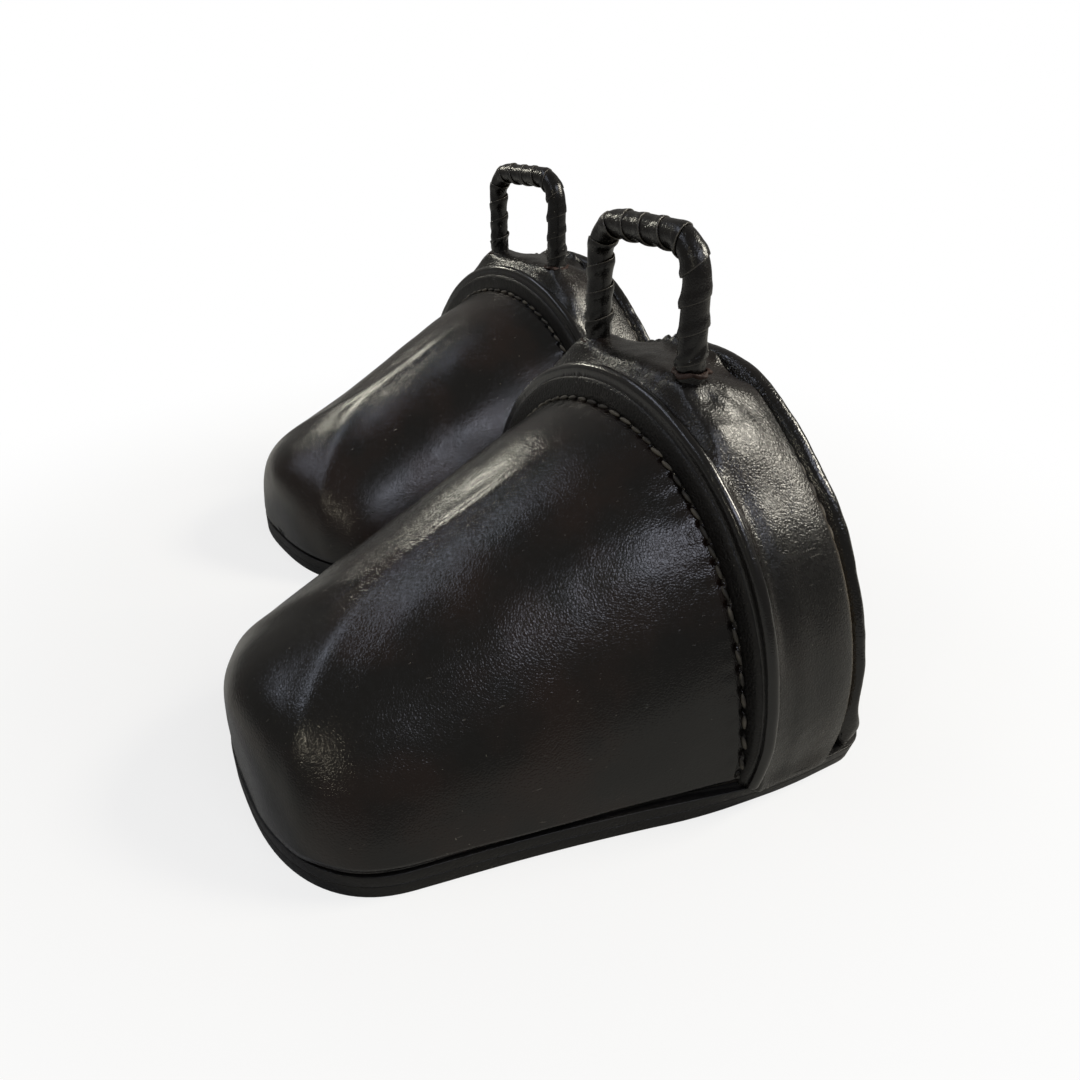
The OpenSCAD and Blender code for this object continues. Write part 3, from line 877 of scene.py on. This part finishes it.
# %% The band's section
def band_section():
    """Corners of the band's section: the outside from front to rear, then the inside."""
    front, rear = bead_y + 1.2, band_rear - 1.0
    outside = []
    for i in range(25):
        share = i / 24
        depth = front + (rear - front) * share
        swell = 1.25 * math.sin(math.pi * share) ** 0.8 * (1 - 0.3 * share)
        swell += 1.1 * smooth_step(share, 0.45, 0.95)
        # A shallow valley follows the bead
        swell += 2.2 * near(depth - bead_y - 0.7, 2.0)
        swell -= 0.6 * near(depth - bead_y - 5, 2.6)
        outside.append((arch_r - 0.2 + swell, depth))
    edge = [
        (arch_r + 0.5, band_rear - 0.45),
        (arch_r - 0.1, band_rear - 0.1),
        (arch_r - 1.6, band_rear),
        (iron_r + 0.05, band_rear - 0.05),
    ]
    inside = [(iron_r, depth) for depth in (10, 5, 0, -5, -10, bead_y)]
    return [(arch_r, bead_y)] + outside + edge + inside


# %% The band's folds
FOOT_TRIM, FOOT_FLARE, DRAWN_FULLY = 16, 1.3, 1.6
# How far the leather is drawn up round the legs at -X and at +X
COVERED = {"left": (DRAWN_FULLY, 0.0), "right": (1.5, 1.2)}


def hill_height(x, y, seed):
    """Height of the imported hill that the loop's legs stand on, level with soft slopes."""
    aside = abs(x) + 1.5 * waviness((x, y, 0), 14, seed)
    rearward = 0.1 + 0.22 * smooth_step(abs(x), 9, 18)
    return (
        hill_top
        - 0.8 * soft(aside - 26, 3)
        - 0.8 * soft(loop_y - 4.5 - y, 1.5)
        - rearward * soft(y - loop_y - 5, 3)
        + 0.8 * near(x - 2, 9) * near(y - loop_y, 8)
        + 0.35 * waviness((x, y, 0), 5, seed + 1)
    )


def hill_rise(x, y, z, seed):
    """How far the hill lifts the leather at a height on the arch."""
    sides = 1 - smooth_step(abs(x), 36, 51)
    lift = soft(hill_height(x, y, seed) - z, 1.6)
    return lift * sides * smooth_step(y, bead_y + 0.5, -9)


def saddle_rise(x, y, seed, covered):
    """Height by which the legs draw the leather up: as a cone, or in a puckered pit."""
    first, second = covered
    off_first = math.hypot(x + loop_half_w, y - loop_y)
    off_second = math.hypot(x - loop_half_w, y - loop_y)
    round_leg = math.atan2(y - loop_y, x - loop_half_w)
    rise = first / (1 + (off_first / 6.2) ** 4) + second / (1 + (off_second / 6.2) ** 4)
    folds = math.sin(6 * round_leg + 3 * waviness((x, y, 0), 6, seed))
    pit = 0.35 * folds * near(off_second - 8, 2.4) - 0.4 * near(off_second - 7.5, 2)
    return rise + (1 - second / DRAWN_FULLY) * pit


def tongue_rise(x, y, seed):
    """Height of the torn edge of leather behind the loop."""
    across = smooth_step(x, -24, -16) * (1 - smooth_step(x, 9, 14))
    torn = 0.9 + 0.7 * waviness((x, 0, 0), 1.7, seed)
    torn += 0.5 * waviness((x, y, 0), 0.9, seed)
    return 2.4 * across * torn * smooth_step(y, band_rear - 3.2, band_rear - 0.8)


def merged(z):
    """1 near the ground, where band and bead run into one soft edge, and 0 above."""
    return 1 - smooth_step(z, 35, 62)


def shape_band(side):
    """The band, with its hill, its saddles, its torn edge and its raw rear edge."""
    seed = SEED[side]
    bm = turn_round_arch(band_section(), 300, FOOT_CUT)
    cut = bm.verts.layers.float.new("cut")
    wear = bm.verts.layers.float.new("wear")
    for vert in bm.verts:
        radius, turn, out = round_arch(vert)
        x, y, z = vert.co
        skin = min(max((radius - iron_r) / BAND_T, 0), 1)
        wave = 0.18 * waviness(vert.co, 16, seed) + 0.02 * waviness(vert.co, 5, seed)
        wave += 0.07 * waviness(vert.co, 2.4, seed) * (1 - smooth_step(z, 30, 60))
        wave *= smooth_step(z, FOOT_CUT, FOOT_CUT + 6)
        valley = 0.7 * near(y - bead_y - 4.6, 2.2) - 1.1 * near(y - bead_y - 1, 1.6)
        wave += merged(z) * valley
        vert.co += out * (wave + FOOT_FLARE * near(z - FOOT_CUT, 4)) * skin
        if z > centre_z:
            lift = hill_rise(x, y, z, seed) + saddle_rise(x, y, seed, COVERED[side])
            vert.co.z += (lift + tongue_rise(x, y, seed)) * skin
        # Each foot steps forward in front, and its rear corner is trimmed round
        low = 1 - smooth_step(z, FOOT_CUT, FOOT_TRIM)
        vert.co.y -= 2.6 * low * low * smooth_step(y, 0, band_rear)
        vert.co.y -= foot_forward(z) * smooth_step(-y, -4, -bead_y)
        raw = smooth_step(y, band_rear - 1.1, band_rear - 0.6) * skin
        vert[cut] = raw * (1 - smooth_step(z, 60, 88))
        vert[wear] = 0.5 * near(y - band_rear + 0.6, 0.8)
    return bm


for side in SIDES:
    bm = shape_band(side)
    band = finish_piece(bm, "band", side, ["arch_band"], band_leather)
    subdivide(band, 1)
print("band:", len(band.data.polygons), "faces")

# %% [markdown]
# ## Bead, rand and lip
#
# The bead is a thin cord with a strip of leather rolled over it. The strip goes on down
# in a hollow, and its end is the rand, to which the hood is sewn. Near the ground bead
# and band run into one soft edge. At the back a second strip is turned over the iron's
# edge. It makes a stitched groove and then a glossy lip, which is deepest at the arch's
# top and narrows to a lump at each foot, where the strip's end was folded under and
# hammered down.

# %% Bead
BEAD_CORNERS = (
    (-5.2, 2.8), (-3.2, 2.6), (-1.9, 2.1), (-0.9, 1.5), (-0.25, 0.8), (0.0, 0.0),
    (-0.2, -0.8), (-0.75, -1.5), (-1.6, -1.9), (-2.5, -1.9), (-3.4, -1.95), (-4.3, -2.3),
    (-5.3, -2.9), (-6.4, -3.2), (-6.4, -1.5), (-5.6, 0.5),
)
PLEAT = 1.7
# Bead: thin leather rolled hard over a cord and rubbed in use, so it shines most. Its dye
# is darker than the band's as painted shade, for its front face that lies in shade
bead_leather = leather(
    "glossy_black_bead_leather_painted_shade", "#070606", "#0c0a09", grain_deep=0.012, crease_deep=0.01,
    dent_deep=0.02, roughness=0.2, coat=0.6,
)
for side in SIDES:
    crest = bead_ring_r + bead_r
    section = [(crest + r, bead_y + d) for r, d in BEAD_CORNERS]
    bm = turn_round_arch(section, 520, foot_z - 0.4)
    wear = bm.verts.layers.float.new("wear")
    for vert in bm.verts:
        radius, turn, out = round_arch(vert)
        z = vert.co.z
        # The strip is gathered here and there, where the seam pulls it in over the top
        gathered = near(radius - crest + 4.6, 1.2) * smooth_step(z, 45, 80)
        gathered *= max(0.4 + waviness(vert.co, 6, SEED[side] + 3), 0)
        run = crest * turn + 4 * waviness(vert.co, 7, SEED[side])
        vert.co.y += 0.2 * gathered * math.sin(2 * math.pi * run / PLEAT)
        vert.co += out * 0.2 * waviness(vert.co, 9, SEED[side])
        vert.co -= out * merged(z) * smooth_step(radius, crest - 4, crest)
        vert.co.y -= foot_forward(z)
        vert[wear] = 0.25 * smooth_step(radius, crest - 0.5, crest)
    bead = finish_piece(bm, "bead", side, ["front_piping"], bead_leather)
    subdivide(bead, 1)

# %% Rand
# Rand: coarse and hardly waxed, because nothing rubs it, so half matt. Its dye is darker
# than the band's as painted shade, for the bead's shadow over the hollow where it lies
rand_leather = leather(
    "pebbled_black_rand_leather_painted_shade", "#080707", "#0d0b0a", grain_mm=1.1, grain_deep=0.06,
    crease_deep=0.06, roughness=0.4, coat=0.0,
)
for side in SIDES:
    section = [
        (opening_r, -rand_front + 1.6),
        (opening_r + 0.1, -rand_front + 0.5),
        (opening_r + 0.8, -rand_front),
        (opening_r + 2, -rand_front),
        (opening_r + 3.4, -rand_front + 0.05),
        (opening_r + 4.8, -rand_front + 0.15),
        (opening_r + 6.2, -rand_front + 0.45),
        (opening_r + 7.0, -rand_front + 1.6),
    ]
    bm = turn_round_arch(section, 220, foot_z)
    for vert in bm.verts:
        vert.co.y += 0.12 * waviness(vert.co, 5, SEED[side]) - foot_forward(vert.co.z)
    finish_piece(bm, "rand", side, ["front_rand"], rand_leather)

# %% Lip
LIP_FOOT = 3.5


def lip_section():
    """Corners of the lip's section, from the groove over the lip and back inside."""
    return [
        (iron_r, 7.0),
        (iron_r + 0.1, band_rear - 2.0),
        (iron_r + 0.1, band_rear + 0.1),
        (iron_r + 0.25, band_rear + 1.0),
        (iron_r + 0.9, band_rear + 1.9),
        (arch_r - 0.6, band_rear + 2.6),
        (arch_r + 0.3, band_rear + 3.4),
        (arch_r + 0.85, band_rear + 4.6),
        (arch_r + 0.8, band_rear + 5.8),
        (arch_r + 0.35, band_rear + 6.6),
        (arch_r - 0.3, lip_rear),
        (arch_r - 1.2, lip_rear),
        (lining_r + 1, lip_rear - 0.1),
        (lining_r, lip_rear - 0.3),
        (lining_r, 16.0),
        (lining_r, 11.0),
    ]


def lip_rise(x):
    """How far the hill under the band lifts the lip."""
    return 4.6 * (1 - smooth_step(abs(x), 14, 52)) - 1.2 * smooth_step(abs(x), 53, 64)


def lip_depth(y, z):
    """A depth behind the band, drawn in as the lip narrows towards the ground."""
    full = lip_rear - band_rear
    here = LIP_FOOT + (full - LIP_FOOT) * z / (centre_z + arch_r)
    return y if y <= band_rear else band_rear + (y - band_rear) * here / full


# Lip: polished with wax and a bone, so its lights are narrow
lip_leather = leather(
    "polished_black_lip_leather", "#0a0909", "#110e0c", grain_mm=0.9, grain_deep=0.035,
    roughness=0.17, coat=0.4,
)
for side in SIDES:
    bm = turn_round_arch(lip_section(), 220, foot_z)
    cut = bm.verts.layers.float.new("cut")
    for vert in bm.verts:
        radius, turn, out = round_arch(vert)
        x, y, z = vert.co
        vert[cut] = 0.25 * near(math.hypot(radius - arch_r, y - lip_rear), 0.5)
        vert.co.y = lip_depth(y, z)
        if y > band_rear:
            lump = near(z - foot_z - 5, 5.5)
            vert.co.y += 3.4 * lump * smooth_step(y, band_rear, lip_rear)
            vert.co += out * 0.7 * lump * smooth_step(radius, iron_r + 1, arch_r)
            vert.co += out * 0.3 * waviness(vert.co, 7, SEED[side])
            vert.co += out * 0.2 * waviness(vert.co, 2.2, SEED[side] + 2)
            if z > centre_z:
                skin = smooth_step(radius, lining_r + 0.5, arch_r - 0.5)
                vert.co.z += skin * lip_rise(x)
            vert.co.y += 0.35 * waviness(vert.co, 12, SEED[side] + 5)
        vert.co.z = max(vert.co.z, foot_z)
    lip = finish_piece(bm, "lip", side, ["rear_welt"], lip_leather)
    subdivide(lip, 1)

# %% Rear stitches, in the groove
groove_r = iron_r + 0.9
groove_y = (groove_low.y + groove_high.y) / 2
groove_foot = math.asin((centre_z - groove_low.z - 2) / groove_r)
for side in SIDES:
    bm = bmesh.new()
    for i in range(STITCHES):
        turn = -groove_foot + (math.pi + 2 * groove_foot) * i / (STITCHES - 1)
        here = arch_point(groove_r - 0.2, turn, groove_y)
        if here.z > centre_z:
            here.z += 0.7 * lip_rise(here.x)
        outward = arch_point(1, turn, 0) - Vector((0, 0, centre_z))
        along = arch_point(1, turn + math.pi / 2, 0.1) - Vector((0, 0, centre_z))
        add_stitch(bm, here, along, outward, REAR_STITCH_LONG)
    finish_piece(bm, "rear_stitches", side, ["rear_seam"], thread)

# %% Lining
# Lining: thin hide with no wax on it, dyed once and worn brown by the boot: matt
lining_leather = leather(
    "worn_brown_black_lining_leather", "#191715", "#2a211b", grain_mm=1.1, roughness=0.55,
    coat=0.0,
)
for side in SIDES:
    section = [
        (lining_r, -rand_front + 1.6),
        (lining_r, lip_rear - 0.3),
        (lining_r - 0.5, lip_rear),
        (opening_r + 0.5, lip_rear),
        (opening_r, lip_rear - 0.4),
        (opening_r, 12.0),
        (opening_r, 0.0),
        (opening_r, -rand_front + 1.6),
    ]
    bm = turn_round_arch(section, 160, lining_low.z)
    for vert in bm.verts:
        vert.co.y = lip_depth(vert.co.y, vert.co.z)
    finish_piece(bm, "lining", side, ["arch_lining"], lining_leather)
print("turned pieces are done")

# %% [markdown]
# ## The wrapped loop
#
# The hanger loop is a bent iron rod, wound with a narrow strip of thin leather. Each turn
# laps over the one before, so the rod looks banded with small steps, close together where
# the strip goes round the inside of a bend. A tube with a bump map would lose those steps
# at the outline. So we lay a real strip: a long thin grid goes along a helix round the
# rod's middle line, its lower edge on top of the last turn and its upper edge on the rod.

# %% The rod's middle line
leg_low = wrap_low.z
straight = loop_top - LOOP_BEND_R - leg_low
bend_len = LOOP_BEND_R * math.pi / 2
half_bar = loop_half_w - LOOP_BEND_R
rod_len = 2 * (straight + bend_len + half_bar)


def rod_frame(run):
    """The middle line's point and its direction away from the loop, at a run along it."""
    side = 1 if run < rod_len / 2 else -1
    run = min(run, rod_len - run)
    bend_z = loop_top - LOOP_BEND_R
    if run <= straight:
        point, out = Vector((loop_half_w, loop_y, leg_low + run)), Vector((1, 0, 0))
    elif run <= straight + bend_len:
        angle = (run - straight) / LOOP_BEND_R
        out = Vector((math.cos(angle), 0, math.sin(angle)))
        point = Vector((half_bar, loop_y, bend_z)) + LOOP_BEND_R * out
    else:
        point = Vector((half_bar - (run - straight - bend_len), loop_y, loop_top))
        out = Vector((0, 0, 1))
    return Vector((point.x * side, loop_y, point.z)), Vector((out.x * side, 0, out.z))


print(f"the rod's middle line is {rod_len:.0f} mm long")

# %% Wrap
WRAP_PITCH, WRAP_WIDTH = 7.8, 9.4
WRAP_T, WRAP_STEP = 0.35, 0.35
# Wrap: skived calf, dyed before it was cut, so that its edges are grey
wrap_leather = leather(
    "thin_black_wrap_leather", "#070606", "#0d0a09", grain_deep=0.02,
    crease_deep=0.03, dent_deep=0.02, roughness=0.25, coat=0.2, bare="#4a4743",
    raw="#75716a",
)


def shape_wrap(side):
    """The strip's outer face, wound from the foot of one leg to that of the other."""
    seed = SEED[side]
    turns = rod_len / WRAP_PITCH + 1
    steps, rows = round(36 * turns), 14
    bm = bmesh.new()
    bmesh.ops.create_grid(bm, x_segments=steps, y_segments=rows, size=0.5)
    wear = bm.verts.layers.float.new("wear")
    cut = bm.verts.layers.float.new("cut")
    for vert in bm.verts:
        along, across = vert.co.x + 0.5, (vert.co.y + 0.5) ** 1.7
        spun = 2 * math.pi * turns * along
        middle = along * (rod_len + WRAP_PITCH) - WRAP_PITCH
        edge_wobble = 0.7 * waviness((middle, 0, across * 9), 5, seed)
        run = min(max(middle + WRAP_WIDTH * across + edge_wobble, 0), rod_len)
        point, out = rod_frame(run)
        lie = math.cos(spun) * out + math.sin(spun) * Vector((0, 1, 0))
        over = 1 - smooth_step(across, 0.14, 0.36)
        radius = wrap_r - 0.25 + (WRAP_STEP - 0.05) * over
        # Inside the bends and under them the turns crowd and bulge
        bent = near(point.z - loop_top + LOOP_BEND_R, 14)
        bent *= smooth_step(-lie.dot(out), 0, 1)
        radius += 0.7 * bent * near(across - 0.2, 0.25)
        # The edge lifts in places
        lifted = max(waviness((middle, 0, spun), 3.5, seed + 4), 0)
        radius += 0.5 * lifted * near(across, 0.1)
        radius += 0.14 * waviness((middle, across * 4, spun), 2.2, seed)
        # Each end is tucked in, and crumples above the collar
        crumpled = 0.25 + 0.75 * waviness((middle, across * 6, 2 * spun), 1.6, seed)
        radius += near(point.z - collar_high.z - 3, 4.5) * crumpled
        vert.co = point + radius * lie
        vert[wear] = 0.6 * near(across, 0.05)
        vert[cut] = 0.6 * near(across, 0.015)
    bmesh.ops.recalc_face_normals(bm, faces=bm.faces)
    return bm


for side in SIDES:
    bm = shape_wrap(side)
    wrap = finish_piece(bm, "wrap", side, ["loop_wrap"], wrap_leather)
    add_modifier(wrap, "SOLIDIFY", thickness=WRAP_T * MM, offset=-1)
    print(wrap.name, len(wrap.data.polygons), "faces")

# %% Collars at the legs' feet
# Collars: washers of undyed leather, rough, red-brown and matt
raw_leather = leather(
    "raw_red_brown_collar_leather", "#2b1a13", "#3c231a", grain_mm=0.7, grain_deep=0.06,
    crease_deep=0.15, roughness=0.6, coat=0.0,
)
collar_r = wrap_r + 1.3
# The band is drawn up over the collars, and only the left stirrup's outer one shows
COLLAR_Z = {
    "left": {-1: collar_low.z - 0.8, 1: collar_low.z + 0.6},
    "right": {-1: collar_low.z - 0.8, 1: collar_low.z - 0.6},
}
for side in SIDES:
    bm = bmesh.new()
    for leg in (-1, 1):
        ring_r = (wrap_r + collar_r) / 2
        thick = (collar_r - wrap_r) / 2
        made = bmesh.ops.create_circle(bm, segments=10, radius=thick)["verts"]
        tilt = Matrix.Rotation(math.pi / 2, 4, "X")
        here = Vector((leg * loop_half_w, loop_y, COLLAR_Z[side][leg]))
        shift = Matrix.Translation(here + Vector((ring_r, 0, 0)))
        bmesh.ops.transform(bm, matrix=shift @ tilt, verts=made)
        edges = list({edge for vert in made for edge in vert.link_edges})
        bmesh.ops.spin(
            bm,
            geom=made + edges,
            cent=here,
            axis=(0, 0, 1),
            angle=2 * math.pi,
            steps=40,
            use_merge=True,
        )
    bmesh.ops.remove_doubles(bm, verts=bm.verts, dist=0.001)
    bmesh.ops.recalc_face_normals(bm, faces=bm.faces)
    for vert in bm.verts:
        leg_x = math.copysign(loop_half_w, vert.co.x)
        out = Vector((vert.co.x - leg_x, vert.co.y - loop_y, 0))
        vert.co += out * (0.25 * waviness(vert.co, 1.6, SEED[side]))
        vert.co.z += 0.7 * waviness(vert.co, 3, SEED[side])
    collars = finish_piece(
        bm, "collars", side, ["leg_collars"], raw_leather
    )
    subdivide(collars, 1)

# %% [markdown]
# ## The sole
#
# Two layers of thick leather are pegged under the hood and arch. Their edges are trimmed
# together, dyed and rubbed with a hot iron, which leaves a smooth dark edge with one fine
# line between the layers. A board is set back between sole and upper, and shows as a
# black gap. The insole lies inside on that board, its edge moulded up the hood's wall.
# Each layer is drawn as half an outline, mirrored, filled and pulled up, and its rim is
# rounded with a bevel.

# %% Outline of a layer
SOLE_CORNER, SOLE_REAR, SOLE_DRAFT = 12, 30, 2.2


def sole_width(front):
    """Half the sole's width: the hood's, evened out, and a little less along the side."""
    near_by = [hood_width(front + step) for step in range(-20, 21, 5)]
    return sum(near_by) / len(near_by) - 0.9 * smooth_step(front, 30, 80)


def half_outline(margin, rear, corner=SOLE_CORNER):
    """Half the sole's outline, from the middle of its rear edge to that of its toe."""
    half_w = sole_width(corner - rear) + margin
    points = [(0, rear), (half_w * 0.35, rear)]
    for i in range(11):
        turn = math.pi / 2 * i / 10
        points.append((
            half_w - corner * (1 - math.sin(turn)),
            rear - corner * (1 - math.cos(turn)),
        ))
    toe_start = toe_front - TOE_ROUND
    for i in range(1, 30):
        front = corner - rear + (toe_start - corner + rear) * i / 30
        points.append((sole_width(front) + margin, -front))
    for i in range(25):
        share = i / 24
        front = toe_start + TOE_ROUND * math.sin(math.pi / 2 * share)
        half = (hood_width(front) - 0.9 + margin) * rounded(front, TOE_ROUND)
        points.append((half, -front - margin * share))
    return points


def round_edges(bm, edges, bevel):
    """Rounds edges with a bevel of three steps."""
    bmesh.ops.bevel(
        bm, geom=edges, offset=bevel, offset_type="OFFSET", segments=3, profile=0.5,
        affect="EDGES", material=-1,
    )


def shape_layer(margin, rear, low, high, bevel):
    """A flat layer with a rounded rim."""
    bm = bmesh.new()
    verts = [bm.verts.new((x, y, low)) for x, y in half_outline(margin, rear)]
    edges = [bm.edges.new(pair) for pair in zip(verts, verts[1:])]
    bmesh.ops.mirror(bm, geom=verts + edges, axis="X", merge_dist=0.01)
    bmesh.ops.contextual_create(bm, geom=bm.edges[:])
    pulled = bmesh.ops.extrude_face_region(bm, geom=bm.faces[:])["geom"]
    moved = [part for part in pulled if isinstance(part, bmesh.types.BMVert)]
    bmesh.ops.translate(bm, vec=(0, 0, high - low), verts=moved)
    bmesh.ops.recalc_face_normals(bm, faces=bm.faces)
    rim = [e for e in bm.edges if abs(e.verts[0].co.z - e.verts[1].co.z) < 0.01]
    round_edges(bm, rim, bevel)
    # Under the arch the edge slopes in towards the ground
    for vert in bm.verts:
        slope = SOLE_DRAFT * smooth_step(vert.co.y, -35, -8) * (vert.co.z / foot_z - 0.3)
        vert.co.x *= 1 + slope / max(abs(vert.co.x), 30)
    return bm


# %% Sole pieces
SOLE_MARGIN, SOLE_BEVEL, INSOLE_BEVEL, PAD_BEVEL = 0.2, 0.28, 0.5, 0.6
# Sole: hard oak-tanned leather, its edge burnished with wax and a hot iron: half matt
sole_leather = leather(
    "burnished_black_sole_leather", "#080707", "#0e0c0b", grain_mm=1.3, grain_deep=0.03,
    crease_deep=0.05, roughness=0.42, coat=0.0,
)
for side in SIDES:
    for node in ("midsole", "outsole"):
        low, high = node_box(node)
        bm = shape_layer(SOLE_MARGIN, SOLE_REAR, low.z, high.z, SOLE_BEVEL)
        finish_piece(bm, node + "_layer", side, [node], sole_leather)

# %% Insole and tread pad
INSOLE_MARGIN, EDGE_WIDTH, EDGE_RISE = -2.2, 2.5, 1.6
for side in SIDES:
    low, high = node_box("insole")
    bm = shape_layer(INSOLE_MARGIN, 0, low.z, high.z, INSOLE_BEVEL)
    # The moulded edge keeps out the light that would come in under the hood
    top = max(bm.faces, key=lambda face: face.calc_center_median().z)
    bmesh.ops.inset_region(bm, faces=[top], thickness=EDGE_WIDTH)
    flat = set(top.verts)
    for vert in bm.verts:
        if vert.co.z > (low.z + high.z) / 2 and vert not in flat:
            vert.co.z += EDGE_RISE
    cut_off(bm, (0, -rand_front, 0), (0, -1, 0))
    bmesh.ops.recalc_face_normals(bm, faces=bm.faces)
    finish_piece(
        bm, "insole_leather", side, ["insole"], lining_leather
    )

    low, high = node_box("tread_pad")
    block = Matrix.Diagonal((*(high - low), 1))
    bm = bmesh.new()
    bmesh.ops.create_cube(
        bm, size=1, matrix=Matrix.Translation((low + high) / 2) @ block
    )
    round_edges(bm, bm.edges[:], PAD_BEVEL)
    finish_piece(
        bm, "tread_leather", side, ["tread_pad"], lining_leather
    )

# %% [markdown]
# ## Iron, board and tacks
#
# What the leather hides stays as the frame has it, and only gets its finish: the arch,
# the tread and the rod are forged iron, blackened in oil; the rivets are plain steel; the
# board is pressed fibre. The tacks' heads are domed, so they are made again.

# %% Iron and board
def metal(name, tone, rust, roughness):
    """Forged metal: uneven tone, a little rust, and a hammered surface."""
    material, tree, shader, spot = new_material(name)
    patches = add_node(tree, "TexNoise", {"Vector": spot, "Scale": 180.0, "Detail": 4.0})
    rusted = add_node(
        tree, "MapRange", {"Value": patches, 1: 0.5, 2: 0.7, 3: 0.0, 4: 0.7}
    )
    colour = add_node(
        tree, "Mix", {0: rusted, 6: linear(tone), 7: linear(rust)}, data_type="RGBA"
    )
    tree.links.new(colour.outputs[2], shader.inputs["Base Color"])
    dents = add_node(tree, "TexNoise", {"Vector": spot, "Scale": 400.0, "Detail": 3.0})
    bump = add_node(
        tree, "Bump", {"Height": dents, "Distance": 0.2 * MM, "Strength": 1.0}
    )
    tree.links.new(bump.outputs[0], shader.inputs["Normal"])
    shader.inputs["Metallic"].default_value = 0.9
    shader.inputs["Roughness"].default_value = roughness
    return material


# Forged iron, blackened in hot oil: dark and half matt, with rust in the hollows
blackened_iron = metal("oil_blackened_iron", "#2f2e2d", "#3b2a20", 0.5)
# Plain steel, bright when it was new and dulled by damp
rivet_steel = metal("plain_rivet_steel", "#8d8a86", "#5a4a3e", 0.35)
# Pressed leather fibre, dyed through: black and matt
fibre = leather("pressed_fibre_board", "#0b0a09", "#100e0c", roughness=0.8, coat=0.0)
for side in SIDES:
    for node, material in (
        ("iron_arch", blackened_iron),
        ("tread_plate", blackened_iron),
        ("hanger_loop", blackened_iron),
        ("tread_rivets", rivet_steel),
        ("lasting_board", fibre),
    ):
        kept = frame["nodes"][f"{side}_{node}"]
        kept.data.materials.clear()
        kept.data.materials.append(material)

# %% Tacks
TACK_R, TACK_H = 2.2, 0.8


def tack_middles():
    """Middles of the tacks' heads on the ground, found in the left stirrup's node."""
    home = place["left"].inverted()
    verts = frame["nodes"]["left_sole_tacks"].data.vertices
    ground = [home @ vert.co / MM for vert in verts if vert.co.z < 0.01 * MM]
    heads = []
    for point in ground:
        if all((point - first).length > 3 * TACK_R for first in heads):
            heads.append(point)
    for head in heads:
        around = [point for point in ground if (point - head).length < 3 * TACK_R]
        yield sum(around, Vector()) / len(around)


middles = list(tack_middles())
head_size = Matrix.Diagonal((TACK_R, TACK_R, TACK_H, 1))
for side in SIDES:
    bm = bmesh.new()
    for x, y, _ in middles:
        place_here = Matrix.Translation((x, y, TACK_H))
        bmesh.ops.create_uvsphere(
            bm, u_segments=10, v_segments=6, radius=1, matrix=place_here @ head_size
        )
    finish_piece(bm, "tack_heads", side, ["sole_tacks"], rivet_steel)
print("tacks:", len(middles))

# %% [markdown]
# ## Size
#
# The dressed model has to stay inside the frame's box. The dressed model's box and
# the frame's box are set side by side.

# %% Size
low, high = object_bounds()
{"cad": [list(cad_low), list(cad_high)], "visual": [list(low), list(high)]}
print("visual box in mm:", [round(size / MM, 1) for size in high - low])
